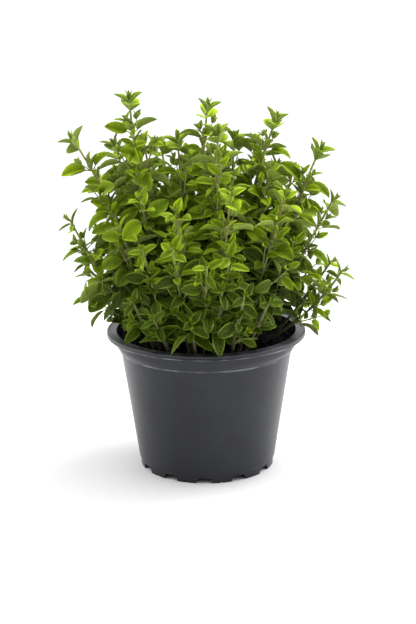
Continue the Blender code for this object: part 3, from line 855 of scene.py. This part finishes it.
def add_shoot(skin, start, axis, turn, lean, length, depth, size, crowd, owner, draw):
    """A side shoot: a thin stem that curves towards the light, with pairs of leaves and a rosette."""
    leave = axis * math.cos(lean) + away_from(axis, math.radians(turn)) * math.sin(lean)
    outward = Vector((start.x, start.y, 0.0)) / OUTWARD_REACH
    low = 1.0 - min(1.0, max(0.0, (start.z - SOIL_TOP) / (90 * MM)))
    rise = (leave + Vector((0, 0, 0.6 - 0.35 * low)) + outward * (0.2 + 0.45 * low)).normalized()
    middle = start + leave * (length * 0.5)
    tip = middle + rise * (length * 0.5)

    def point(share):
        return on_arc(start, middle, tip, share)

    def way(share):
        return (leave * (1 - share) + rise * share).normalized()

    if not inside_room([tip]) or not crowd.is_free([tip], owner):
        return False
    kept, first_turn = shoot_leaves(point, way, length, depth, size, crowd, owner, draw)
    if not kept:
        return False
    radius = SHOOT_RADIUS * (0.75 + 0.5 * min(1.0, length / (25 * MM)))
    if length > SHORTEST_TUBE:
        add_tube(skin, [point(share) for share in SHOOT_PLACES],
                 [radius * (1 - 0.35 * share) for share in SHOOT_PLACES], 5,
                 np.array([0.72 - 0.3 * depth, draw.random()]))
    for leaf in kept:
        add_leaf(skin, leaf, draw)
    add_bud(skin, tip, rise, first_turn, SHOOT_BUD * size, 2, crowd, owner, draw)
    return True


def stem_line(stem, pairs):
    """Centres, radii and shares of a long stem's height, from the root to the bud."""
    centres = [stem.foot - stem.direction(0.0) * ROOTED]
    radii = [stem.radius(0.0) * BETWEEN_PAIRS]
    heights = [0.0]
    steps = max(6, round(stem.length / STEM_STEP))
    nodes = [1.0 - leaves[0].distance / stem.length for leaves in pairs]
    for step in range(steps + 1):
        share = step / steps
        swell = max([math.exp(-((share - node) * stem.length / PAIR_SWELL) ** 2) for node in nodes] + [0.0])
        centres.append(stem.point(share))
        radii.append(stem.radius(share) * (BETWEEN_PAIRS + 0.2 * swell))
        heights.append(min(share, (stem.point(share).z - SOIL_TOP) / LONG_STEM))
    centres.append(stem.tip + stem.direction(1.0) * END_LENGTH * MM)
    radii.append(END_RADIUS)
    heights.append(1.0)
    return centres, radii, heights


def chosen(leaf, tree):
    """Aims a planned leaf as the solid has it, or says that the solid hasn't got it."""
    for extra_turn, extra_lean in TRIES:
        leaf.aim(extra_turn, extra_lean)
        if tree.find(leaf.tip())[2] < SAME_PLACE:
            return True
    return False


def tree_of(node):
    corners = frame["nodes"][node].data.vertices
    tree = KDTree(len(corners))
    for number, corner in enumerate(corners):
        tree.insert(corner.co, number)
    tree.balance()
    return tree


def place_solid_leaves(stem, pairs, crowd, draw):
    """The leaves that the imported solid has, kept exactly where it has them."""
    tree = tree_of(stem.name)
    placed = []
    for leaf in itertools.chain(*pairs):
        leaf.placed = leaf.in_solid and chosen(leaf, tree)
        if leaf.placed:
            placed.append(leaf)
            dress(leaf, stem, draw)
            crowd.add(leaf.marks(), stem.name)
    return placed


def openness(stem):
    """0 for a rosette at the plant's top, 1 for one low down, which opens flat."""
    return from_to(stem.tip.z, ROSETTE_HEIGHTS)


def rosette_axis(stem):
    """Low rosettes turn their faces out of the plant."""
    outward = Vector((stem.tip.x, stem.tip.y, 0.0)).normalized()
    return (stem.direction(1.0) + outward * mix(ROSETTE_TILT, openness(stem))).normalized()


def dress(leaf, stem, draw):
    """Opens a planned leaf where it is in the rosette, turns its face outward and sets its tone, with
    painted shade on low rosettes.
    """
    flat = openness(stem)
    extra_turn, extra_lean = leaf.extra
    opening = 0
    if leaf.pair < 2:
        opening = mix([lean[leaf.pair] for lean in ROSETTE_OPENING], flat)
        leaf.width *= mix([width[leaf.pair] for width in ROSETTE_WIDTH], flat)
        leaf.axis = rosette_axis(stem)
    else:
        leaf.width *= mix(GROWN_WIDTH, flat)
    leaf.fold = math.tan(math.radians(mix((mix(CROWN_FOLD, leaf.age), mix(LOW_FOLD, leaf.age)), flat)))
    leaf.tone = tone_of(leaf, min(1.0, leaf.distance / OLD_AT))
    # Painted shade: the first two pairs of low rosettes in the plant's middle are darkened
    if leaf.pair < 2:
        leaf.tone = min(1.0, leaf.tone + ROSETTE_SHADE * flat * shaded_middle(leaf.base))
    spread = mix(TURN_SPREAD, min(1.0, SPREAD_BY_AGE * leaf.age))
    leaf.show_face(mix(TURN_OUT, leaf.age), spread, draw)
    for lift in LIFTS:
        leaf.aim(extra_turn, extra_lean + opening - lift)
        if inside_room(leaf.marks()):
            break


def place_more_leaves(stem, pairs, crowd, draw):
    """Leaves of the plan that the solid hasn't got, each where it has room."""
    placed = []
    for leaf in itertools.chain(*pairs):
        if leaf.placed:
            continue
        width = leaf.width
        for extra_turn, extra_lean in TRIES:
            leaf.width = width
            leaf.aim(extra_turn, extra_lean)
            dress(leaf, stem, draw)
            marks = leaf.marks()
            if inside_room(marks) and crowd.is_free(marks, ""):
                crowd.add(marks, stem.name)
                placed.append(leaf)
                leaf.placed = True
                break
    return placed


def add_side_shoots(skin, stem, pairs, crowd, draw):
    """A shoot over each leaf below the rosette: tufts near the tip, branches near the soil."""
    for leaf in itertools.chain(*pairs[2:]):
        depth = min(1.0, leaf.distance / SHOOT_FULL_AT)
        length = mix(SHOOT_LENGTH, depth ** 1.1) * draw.uniform(*SHOOT_LENGTH_SCATTER)
        outside = from_to(math.hypot(leaf.base.x, leaf.base.y), OUTSIDE)
        length *= 1.0 - SHORTER_OUTSIDE * outside
        owner = f"{stem.name} {leaf.distance} {leaf.turn}"
        for attempt, shorter in enumerate(SHOOT_SHORTENED):
            turn = math.degrees(leaf.turn) + scatter(draw, 12 + 14 * attempt)
            lean = math.radians(draw.uniform(*SHOOT_LEAN))
            if add_shoot(skin, leaf.base, leaf.axis, turn, lean, length * shorter, depth,
                         draw.uniform(*SHOOT_SIZE), crowd, owner, draw):
                break


def make_stems(materials):
    """All stems with their solids' leaves first, then more leaves, then side shoots in what is left."""
    stems = all_stems()
    crowd = Crowd()
    plans = {stem: planned_pairs(stem) for stem in stems}
    skins = {stem: Skin(stem.name + "_leafy") for stem in stems}
    draws = {stem: random.Random(1000 + stem.seed) for stem in stems}
    for stem in stems:
        crowd.add([stem.point(step / 60) for step in range(61)], stem.name)
    for stem in stems:
        skin, draw = skins[stem], draws[stem]
        for leaf in place_solid_leaves(stem, plans[stem], crowd, draw):
            add_leaf(skin, leaf, draw)
        centres, radii, heights = stem_line(stem, plans[stem])
        traits = np.stack([np.repeat(heights, STEM_SIDES),
                           np.full(STEM_SIDES * len(heights), draw.random())], axis=1)
        traits = np.concatenate([traits, traits[:1], traits[-1:]])
        add_tube(skin, centres, radii, STEM_SIDES, traits)
        add_bud(skin, stem.tip, rosette_axis(stem), stem.turn, mix(BUD_SIZE, openness(stem)), 3,
                crowd, stem.name, draw)
        add_hairs(skin, stem, draw)
    for stem in stems:
        for leaf in place_more_leaves(stem, plans[stem], crowd, draws[stem]):
            add_leaf(skins[stem], leaf, draws[stem])
    for stem in stems:
        add_side_shoots(skins[stem], stem, plans[stem], crowd, draws[stem])
    for stem in stems:
        body = skins[stem].make(materials)
        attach(body, "root")
        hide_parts(stem.name)


def inner_radius(height):
    """Radius of the pot's inner wall at a height, between the floor and the collar's top."""
    if height > SHOULDER:
        low, high = SHOULDER, POT_HEIGHT - WALL
        outer = (SHOULDER_RADIUS, COLLAR_TOP_RADIUS)
    elif height > COLLAR_BOTTOM:
        low, high = COLLAR_BOTTOM, SHOULDER
        outer = (COLLAR_BOTTOM_RADIUS, SHOULDER_RADIUS)
    else:
        low, high = FOOT_HEIGHT, COLLAR_BOTTOM
        outer = (BODY_BOTTOM_RADIUS, BODY_TOP_RADIUS)
    return mix(outer, (height - low) / (high - low)) - WALL


def inner_wall():
    """Radius and height up the pot's inner wall, from the floor's edge to the collar."""
    floor_top = FOOT_HEIGHT + WALL
    heights = (floor_top + 2 * EDGE, COLLAR_BOTTOM - WALL, COLLAR_BOTTOM + EDGE)
    wall = [(inner_radius(height), height) for height in heights]
    return [(inner_radius(floor_top) - EDGE, floor_top)] + wall


def pot_profile():
    """The part's profile with true corners, each with the radius that rounds it."""
    rim_inside = RIM_RADIUS - RIM_WIDTH
    underside = POT_HEIGHT - WALL
    dished = POT_HEIGHT - RIM_DISH
    lip_foot = POT_HEIGHT - LIP_DROP
    ring_inside = FOOT_RADIUS - FOOT_WALL
    inside = [(0.0, FOOT_HEIGHT + WALL, 0.0)] + [(radius, height, EDGE) for radius, height in inner_wall()]
    rim = [(inner_radius(SHOULDER), SHOULDER, SHOULDER_ROUND),
           (inner_radius(underside - WALL), underside - WALL, EDGE),
           (rim_inside - EDGE / 2, POT_HEIGHT, EDGE),
           (rim_inside + EDGE, POT_HEIGHT, EDGE / 2),
           (rim_inside + 2 * EDGE, dished, EDGE),
           (RIM_RADIUS - 3 * EDGE, dished, EDGE),
           (RIM_RADIUS - 2 * EDGE, POT_HEIGHT, EDGE / 2),
           (RIM_RADIUS, POT_HEIGHT, EDGE),
           (RIM_RADIUS - LIP_HOLLOW, POT_HEIGHT - LIP_DROP * 0.5, LIP_DROP / 4),
           (RIM_RADIUS, lip_foot + EDGE, EDGE),
           (RIM_RADIUS - EDGE / 4, lip_foot, EDGE),
           (RIM_RADIUS - WALL, lip_foot, EDGE / 2),
           (RIM_RADIUS - WALL, underside, EDGE),
           (COLLAR_TOP_RADIUS, underside, EDGE)]
    outside = [(SHOULDER_RADIUS, SHOULDER, SHOULDER_ROUND),
               (COLLAR_BOTTOM_RADIUS + EDGE / 2, COLLAR_BOTTOM + 2 * EDGE, EDGE),
               (COLLAR_BOTTOM_RADIUS + EDGE / 4, COLLAR_BOTTOM, EDGE / 3),
               (BODY_TOP_RADIUS, COLLAR_BOTTOM - EDGE / 4, EDGE / 3),
               (BODY_BOTTOM_RADIUS, FOOT_HEIGHT, EDGE),
               (FOOT_RADIUS + EDGE / 2, FOOT_HEIGHT - EDGE / 2, EDGE / 2),
               (FOOT_RADIUS, 0.0, EDGE / 3),
               (ring_inside, 0.0, EDGE / 3),
               (ring_inside - EDGE / 2, FOOT_HEIGHT, EDGE),
               (0.0, FOOT_HEIGHT, 0.0)]
    return inside + rim + outside


def rounded(profile, pieces=3):
    """The profile with an arc at each corner, as a curve through points on its two sides."""
    points = [Vector(profile[0][:2])]
    for before, corner, after in zip(profile, profile[1:], profile[2:]):
        here = Vector(corner[:2])
        back, ahead = Vector(before[:2]) - here, Vector(after[:2]) - here
        reach = min(corner[2], back.length * 0.45, ahead.length * 0.45)
        first, last = here + back.normalized() * reach, here + ahead.normalized() * reach
        points += [on_arc(first, here, last, step / pieces) for step in range(pieces + 1)]
    return points + [Vector(profile[-1][:2])]


def apply_modifiers(body):
    depsgraph = bpy.context.evaluated_depsgraph_get()
    mesh = bpy.data.meshes.new_from_object(body.evaluated_get(depsgraph))
    body.modifiers.clear()
    body.data = mesh


def turned(name, profile, sides):
    """A body of revolution about Z, from a profile of radius and height pairs."""
    mesh = bpy.data.meshes.new(name)
    mesh.from_pydata([(radius, 0.0, height) for radius, height in profile],
                     [(index, index + 1) for index in range(len(profile) - 1)], [])
    body = new_object(name, mesh)
    screw = body.modifiers.new("turn", "SCREW")
    screw.axis = "Z"
    screw.steps = screw.render_steps = sides
    screw.use_merge_vertices = True
    screw.merge_threshold = 0.01 * MM
    apply_modifiers(body)
    return body


def mesh_of(name, shape):
    mesh = bpy.data.meshes.new(name)
    shape.to_mesh(mesh)
    shape.free()
    return mesh


def foot_cutter(name, angle, top_width, foot_width, height, collection):
    """A block across the foot ring, wider at the bottom, pointing outwards at an angle about Z."""
    shape = bmesh.new()
    bmesh.ops.create_cube(shape, size=1.0)
    for corner in shape.verts:
        width = foot_width if corner.co.z < 0 else top_width
        lift = -BELOW_FOOT if corner.co.z < 0 else height
        corner.co = Vector((FOOT_RADIUS + corner.co.x * 4 * FOOT_WALL, corner.co.y * width, lift))
    new_object(name, mesh_of(name, shape), collection).rotation_euler = (0, 0, angle)


def drain_cutter(name, angle, collection):
    shape = bmesh.new()
    bmesh.ops.create_cone(shape, cap_ends=True, segments=DRAIN_SIDES, radius1=DRAIN_RADIUS,
                          radius2=DRAIN_RADIUS, depth=4 * WALL)
    new_object(name, mesh_of(name, shape), collection).location = (
        DRAIN_CIRCLE * math.cos(angle), DRAIN_CIRCLE * math.sin(angle), FOOT_HEIGHT + WALL / 2)


def make_pot(material):
    pot = turned("pot_moulded", rounded(pot_profile()), POT_SIDES)
    cutters = bpy.data.collections.new("pot cutters")
    bpy.context.scene.collection.children.link(cutters)
    for place in range(NOTCHES):
        angle = FIRST_NOTCH + math.tau * place / NOTCHES
        foot_cutter(f"notch {place}", angle, NOTCH_TOP_WIDTH, NOTCH_FOOT_WIDTH, NOTCH_HEIGHT, cutters)
        foot_cutter(f"nick {place}", angle + math.pi / NOTCHES, NICK_WIDTH, NICK_WIDTH, NICK_HEIGHT, cutters)
    for place in range(DRAIN_HOLES):
        drain_cutter(f"drain {place}", math.tau * place / DRAIN_HOLES, cutters)
    cut = pot.modifiers.new("notches", "BOOLEAN")
    cut.operation = "DIFFERENCE"
    cut.operand_type = "COLLECTION"
    cut.collection = cutters
    apply_modifiers(pot)
    for cutter in list(cutters.objects):
        bpy.data.objects.remove(cutter)
    bpy.data.collections.remove(cutters)
    pot.data.shade_smooth()
    pot.data.set_sharp_from_angle(angle=POT_SHARP_ANGLE)
    pot.data.materials.clear()
    pot.data.materials.append(material)
    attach(pot, "root")
    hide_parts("pot")


def soil_height(x, y):
    """The part's surface, a low crown with ripples, broken up into lumps."""
    reach = math.hypot(x, y) / inner_radius(SOIL_TOP)
    ripple = math.sin(x / (6 * MM) + 1) * math.cos(y / (5 * MM))
    smooth = SOIL_TOP + SOIL_CROWN * (0.4 - reach * reach) + SOIL_RIPPLE * ripple * (1 - reach ** 4)
    return smooth + noise.fractal(Vector((x, y, 0.0)) / LUMP_SIZE, 0.6, 2.2, 4) * LUMP_HEIGHT


def grain():
    """Corners and faces of a ball of twenty triangles."""
    shape = bmesh.new()
    bmesh.ops.create_icosphere(shape, subdivisions=1, radius=1.0)
    corners = np.array([corner.co for corner in shape.verts])
    faces = [tuple(corner.index for corner in face.verts) for face in shape.faces]
    shape.free()
    return corners, faces


def crumbs(edge):
    """Grains of many sizes, pressed into the soil's surface."""
    ball, ball_faces = grain()
    draw = random.Random(5)
    corners, faces = [], []
    for number in range(CRUMBS):
        reach = (edge - CRUMB_EDGE) * math.sqrt(draw.random())
        angle = draw.uniform(0, math.tau)
        x, y = reach * math.cos(angle), reach * math.sin(angle)
        size = CRUMB_SIZE[0] + CRUMB_SIZE[1] * draw.random() ** 3
        uneven = np.array([draw.uniform(0.75, 1.2) for corner in ball])[:, None]
        stretched = ball * uneven * (size * draw.uniform(0.7, 1.7), size, size * draw.uniform(0.5, 0.9))
        turn = Matrix.Rotation(draw.uniform(0, math.tau), 3, Vector((draw.random(), draw.random(), 1)))
        corners.append(stretched @ np.array(turn).T + (x, y, soil_height(x, y) + 0.2 * size))
        faces += [tuple(index + number * len(ball) for index in face) for face in ball_faces]
    return np.concatenate(corners), faces


def make_soil(material):
    """A plug with a lumpy top, and loose crumbs pressed into it."""
    edge = inner_radius(SOIL_TOP - SOIL_CROWN) - GAP
    top = [(edge * ring / SOIL_RINGS, SOIL_TOP) for ring in range(SOIL_RINGS + 1)]
    side = [(radius - GAP, height + GAP) for radius, height in reversed(inner_wall())]
    plug = turned("soil plug", [*top, *side, (0.0, FOOT_HEIGHT + WALL + GAP)], SOIL_SIDES)
    for corner in plug.data.vertices:
        if corner.co.z > SOIL_TOP - EDGE:
            corner.co.z = soil_height(corner.co.x, corner.co.y)
    plug_corners = np.array([corner.co for corner in plug.data.vertices])
    plug_faces = [tuple(face.vertices) for face in plug.data.polygons]
    bpy.data.objects.remove(plug)
    crumb_corners, crumb_faces = crumbs(edge)
    faces = plug_faces + [tuple(index + len(plug_corners) for index in face) for face in crumb_faces]
    mesh = bpy.data.meshes.new("soil_crumbly")
    mesh.from_pydata(np.concatenate([plug_corners, crumb_corners]), [], faces)
    mesh.materials.append(material)
    soil = new_object("soil_crumbly", mesh)
    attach(soil, "root")
    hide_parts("soil")


class Nodes:
    """Short ways to add and link the nodes of a material or a world. Tuples are colours."""

    def __init__(self, owner):
        owner.use_nodes = True
        self.tree = owner.node_tree

    def set(self, socket, value):
        if isinstance(value, bpy.types.NodeSocket):
            self.tree.links.new(value, socket)
        else:
            socket.default_value = (*value, 1.0) if isinstance(value, tuple) else value

    def add(self, kind, inputs=(), **settings):
        node = self.tree.nodes.new(kind)
        for name, value in settings.items():
            setattr(node, name, value)
        for place, value in (inputs.items() if isinstance(inputs, dict) else enumerate(inputs)):
            self.set(node.inputs[place], value)
        return node

    def math(self, operation, *values):
        return self.add("ShaderNodeMath", values, operation=operation).outputs[0]

    def plus(self, first, second):
        return self.math("ADD", first, second)

    def times(self, first, second):
        return self.math("MULTIPLY", first, second)

    def less(self, first, second):
        return self.math("SUBTRACT", first, second)

    def fade(self, value, start, end, low=0.0, high=1.0, kind="SMOOTHSTEP"):
        """Low before start, high after end, and between them smooth or as its kind says."""
        ends = {"Value": value, "From Min": start, "From Max": end, "To Min": low, "To Max": high}
        return self.add("ShaderNodeMapRange", ends, interpolation_type=kind).outputs[0]

    def blend(self, factor, first, second, mode="MIX"):
        node = self.add("ShaderNodeMix", data_type="RGBA", blend_type=mode)
        for place, value in ((0, factor), (6, first), (7, second)):
            self.set(node.inputs[place], value)
        return node.outputs[2]

    def tint(self, colour, by):
        return self.blend(1.0, colour, by, "MULTIPLY")

    def blend_tints(self, factor, colour, first, second):
        return self.blend(factor, self.tint(colour, first), self.tint(colour, second))

    def parts(self, vector):
        return self.add("ShaderNodeSeparateXYZ", [vector]).outputs

    def place(self, kind):
        return self.add("ShaderNodeTexCoord").outputs[kind]

    def noise(self, scale, detail=3.0):
        inputs = {"Vector": self.place("Object"), "Scale": scale, "Detail": detail}
        return self.add("ShaderNodeTexNoise", inputs).outputs[0]

    def uv(self, name):
        return self.parts(self.add("ShaderNodeUVMap", uv_map=name).outputs[0])[:2]


class Surface(Nodes):
    """A material with a Principled shader."""

    def __init__(self, name):
        self.material = bpy.data.materials.new(name)
        super().__init__(self.material)
        self.shader = self.tree.nodes["Principled BSDF"]

    def look(self, colour, roughness, specular=None):
        self.set(self.shader.inputs["Base Color"], colour)
        self.set(self.shader.inputs["Roughness"], roughness)
        if specular is not None:
            self.set(self.shader.inputs["Specular IOR Level"], specular)

    def bump(self, height, distance):
        node = self.add("ShaderNodeBump", {"Height": height, "Distance": distance, "Strength": 1.0})
        self.set(self.shader.inputs["Normal"], node.outputs[0])
        return node.outputs[0]


def leaf_material(name, young, grown, old_and_shaded, vein, vein_share, vein_lift, through, roughness):
    """Blade colour by tone, which is age with painted shade added, with a midrib, side veins, a pale margin,
    and light through the blade.
    """
    nodes = Surface(name)
    place, along = nodes.uv("blade")
    age, shade = nodes.uv("traits")
    across = nodes.times(nodes.math("ABSOLUTE", nodes.less(place, 0.5)), 2.0)
    phase = nodes.less(nodes.times(along, SIDE_VEINS), nodes.times(across, VEIN_SLANT))
    side_vein = nodes.less(1.0, nodes.fade(nodes.math("PINGPONG", phase, 0.5), 0.0, SIDE_VEIN_WIDTH))
    side_vein = nodes.times(side_vein, nodes.less(1.0, nodes.fade(across, 0.55, 0.95)))
    midrib = nodes.less(1.0, nodes.fade(across, 0.0, MIDRIB_WIDTH))
    veins = nodes.math("MAXIMUM", nodes.times(side_vein, 0.6), midrib)

    # The first trait is the tone: age, with painted shade added low in the plant; the darkest colour serves
    # old and shaded leaves
    colour = nodes.blend(nodes.fade(age, 0.0, 0.6), young, grown)
    colour = nodes.blend(nodes.fade(age, 0.6, 1.0), colour, old_and_shaded)
    mottle = nodes.noise(420.0)
    light = nodes.fade(nodes.plus(nodes.times(shade, 0.5), nodes.times(mottle, 0.5)), 0.15, 0.85)
    colour = nodes.blend_tints(light, colour, (0.62, 0.66, 0.6), (1.4, 1.3, 1.5))
    colour = nodes.blend_tints(nodes.fade(across, 0.2, 0.95), colour, (0.8, 0.83, 0.8), (1.2, 1.17, 1.3))
    colour = nodes.blend(nodes.times(veins, vein_share), colour, vein)
    margin = nodes.times(nodes.fade(across, 0.8, 0.95), 0.5)
    colour = nodes.blend(margin, colour, nodes.tint(vein, (1.25, 1.25, 1.2)))
    nodes.look(colour, nodes.plus(roughness, nodes.times(mottle, 0.2)), 0.14)

    fuzz = nodes.noise(2600.0, 2.0)
    height = nodes.plus(nodes.times(veins, vein_lift), nodes.times(fuzz, 0.3))
    normal = nodes.bump(nodes.plus(height, nodes.times(mottle, 0.5)), 0.35 * MM)
    boost = nodes.blend(nodes.fade(age, 0.3, 1.0), (1.4, 1.35, 0.7), (1.45, 1.43, 0.7))
    glow = nodes.tint(nodes.add("ShaderNodeGamma", [colour, 0.5]).outputs[0], boost)
    back = nodes.add("ShaderNodeBsdfTranslucent", {"Color": glow, "Normal": normal})
    both = nodes.add("ShaderNodeMixShader", [through, nodes.shader.outputs[0], back.outputs[0]])
    nodes.set(nodes.tree.nodes["Material Output"].inputs["Surface"], both.outputs[0])
    return nodes.material


def bark_material():
    """Stems: streaky, coloured by their height with painted shade at the foot, with a faint sheen."""
    nodes = Surface("oregano stem")
    ramp = nodes.add("ShaderNodeValToRGB", [nodes.uv("traits")[0]])
    elements = ramp.color_ramp.elements
    for element, (position, colour) in zip(elements, (BARK_WITH_SHADED_FOOT[0], BARK_WITH_SHADED_FOOT[-1])):
        element.position, element.color = position, (*colour, 1.0)
    for position, colour in BARK_WITH_SHADED_FOOT[1:-1]:
        elements.new(position).color = (*colour, 1.0)
    streak = nodes.noise(900.0)
    streaky = nodes.fade(streak, 0.3, 0.75)
    colour = nodes.blend_tints(streaky, ramp.outputs[0], (0.7, 0.66, 0.6), (1.3, 1.35, 1.4))
    nodes.look(colour, 0.6)
    nodes.set(nodes.shader.inputs["Sheen Weight"], 0.12)
    nodes.set(nodes.shader.inputs["Sheen Roughness"], 0.4)
    nodes.bump(streak, 0.2 * MM)
    return nodes.material


def hair_material():
    nodes = Surface("oregano hairs")
    nodes.look((0.42, 0.46, 0.28), 0.5)
    return nodes.material


def painted_edge_highlights(nodes):
    """Painted highlight lines, strongest along the lip's and the collar's lower edges, weaker over the top
    of the rim.
    """
    height = nodes.parts(nodes.place("Object"))[2]
    edges = []
    for middle, width in ((POT_HEIGHT - LIP_DROP + EDGE / 2, 0.7 * MM), (COLLAR_BOTTOM + EDGE, 0.8 * MM)):
        away = nodes.math("ABSOLUTE", nodes.less(height, middle))
        edges.append(nodes.less(1.0, nodes.fade(away, 0.2 * width, width)))
    rim = nodes.times(nodes.fade(height, POT_HEIGHT - EDGE, POT_HEIGHT - EDGE / 2), 0.3)
    return nodes.math("MAXIMUM", nodes.math("MAXIMUM", *edges), rim)


def pot_material():
    """Dark grey moulded plastic: satin, faintly mottled, a little dusty, with painted highlights along its
    edges.
    """
    nodes = Surface("pot plastic")
    cloud = nodes.noise(45.0, 4.0)
    fine = nodes.noise(700.0, 4.0)
    colour = nodes.blend(nodes.fade(cloud, 0.3, 0.7), (0.009, 0.0098, 0.014), (0.013, 0.0142, 0.0195))
    # Painted highlights: pale lines along the lip's and collar's lower edges and the rim's top, broken up by
    # noise
    edge_highlight = nodes.times(nodes.fade(nodes.noise(90.0, 3.0), 0.3, 0.75), painted_edge_highlights(nodes))
    colour = nodes.blend(edge_highlight, colour, (0.17, 0.174, 0.185))
    dust = nodes.times(nodes.fade(fine, 0.56, 0.75), 0.25)
    colour = nodes.blend(dust, colour, (0.04, 0.04, 0.043))
    rough = nodes.plus(0.26, nodes.times(cloud, 0.12))
    nodes.look(colour, nodes.plus(rough, nodes.times(fine, 0.06)), 0.32)
    nodes.bump(nodes.plus(nodes.times(fine, 0.4), nodes.times(cloud, 3.0)), 0.1 * MM)
    return nodes.material


def soil_material():
    """Moist potting mix, nearly black, with paler fibres and grains."""
    nodes = Surface("potting soil")
    coarse = nodes.noise(320.0, 5.0)
    fine = nodes.noise(1500.0, 3.0)
    colour = nodes.blend(nodes.fade(coarse, 0.35, 0.7), (0.002, 0.0014, 0.001), (0.010, 0.0065, 0.0045))
    colour = nodes.blend(nodes.times(nodes.fade(fine, 0.66, 0.76), 0.4), colour, (0.11, 0.07, 0.04))
    nodes.look(colour, 0.9, 0.12)
    nodes.bump(nodes.plus(coarse, nodes.times(fine, 0.5)), 0.8 * MM)
    return nodes.material


def make_camera():
    data = bpy.data.cameras.new("camera")
    data.sensor_fit = "VERTICAL"
    data.sensor_height = SENSOR_HEIGHT
    data.lens = FOCAL_PIXELS / PHOTO_HEIGHT * SENSOR_HEIGHT
    camera = new_object("camera", data)
    camera.location = CAMERA_PLACE
    camera.rotation_mode = "QUATERNION"
    camera.rotation_quaternion = (Matrix.Rotation(CAMERA_PITCH, 3, "X")
                                  @ Matrix.Rotation(CAMERA_ROLL, 3, "Z")).to_quaternion()
    bpy.context.scene.camera = camera


def make_key_light():
    data = bpy.data.lights.new("key", "AREA")
    data.shape = "DISK"
    data.size = KEY_SIZE
    data.energy = KEY_POWER
    light = new_object("key", data)
    light.location = KEY_PLACE
    light.rotation_euler = (Vector(KEY_TARGET) - Vector(KEY_PLACE)).to_track_quat("-Z", "Y").to_euler()


def make_world():
    """A white room, brighter overhead and at its two sides, and darker in front of the plant."""
    world = bpy.data.worlds.new("white room")
    nodes = Nodes(world)
    x, y, z = nodes.parts(nodes.place("Generated"))
    lift = nodes.fade(z, 0.25, 1.0, ROOM_LIGHT, OVERHEAD_LIGHT)
    front = nodes.times(nodes.fade(y, 0.0, -0.8), nodes.fade(z, -0.03, 0.12))
    share = nodes.fade(front, 0.0, 1.0, 1.0, FRONT_SHARE, "LINEAR")
    which = nodes.fade(x, -1.0, 1.0, LEFT_SHARE - 1.0, RIGHT_SHARE - 1.0, "LINEAR")
    sides = nodes.fade(nodes.math("ABSOLUTE", x), 0.4, 1.0)
    stronger = nodes.math("MULTIPLY_ADD", which, sides, 1.0)
    background = nodes.tree.nodes["Background"]
    nodes.set(background.inputs["Strength"], nodes.times(nodes.times(lift, share), stronger))
    nodes.set(background.inputs["Color"], (1.0, 1.0, 1.0))
    bpy.context.scene.world = world


def make_stage():
    """A pale floor in a white room, and a large soft light above and behind to the right."""
    shape = bmesh.new()
    bmesh.ops.create_circle(shape, cap_ends=True, segments=96, radius=FLOOR_REACH)
    floor = new_object("floor", mesh_of("floor", shape))
    nodes = Surface("pale floor")
    nodes.look((FLOOR_SHADE,) * 3, 0.9, 0.1)
    floor.data.materials.append(nodes.material)
    make_world()
    make_key_light()


def main():
    make_camera()
    make_stage()
    leaf_top = leaf_material(
        "oregano leaf", young=(0.275, 0.41, 0.008), grown=(0.195, 0.298, 0.003), old_and_shaded=(0.048, 0.084, 0.002),
        vein=(0.29, 0.42, 0.04), vein_share=0.3, vein_lift=-1.0, through=0.34, roughness=0.47)
    leaf_under = leaf_material(
        "oregano leaf underside", young=(0.255, 0.335, 0.06), grown=(0.23, 0.305, 0.05),
        old_and_shaded=(0.115, 0.165, 0.028), vein=(0.38, 0.46, 0.15), vein_share=0.45, vein_lift=1.2, through=0.1,
        roughness=0.62)
    make_stems([leaf_top, leaf_under, bark_material(), hair_material()])
    make_pot(pot_material())
    make_soil(soil_material())
    bpy.context.scene.view_settings.view_transform = "Standard"


main()
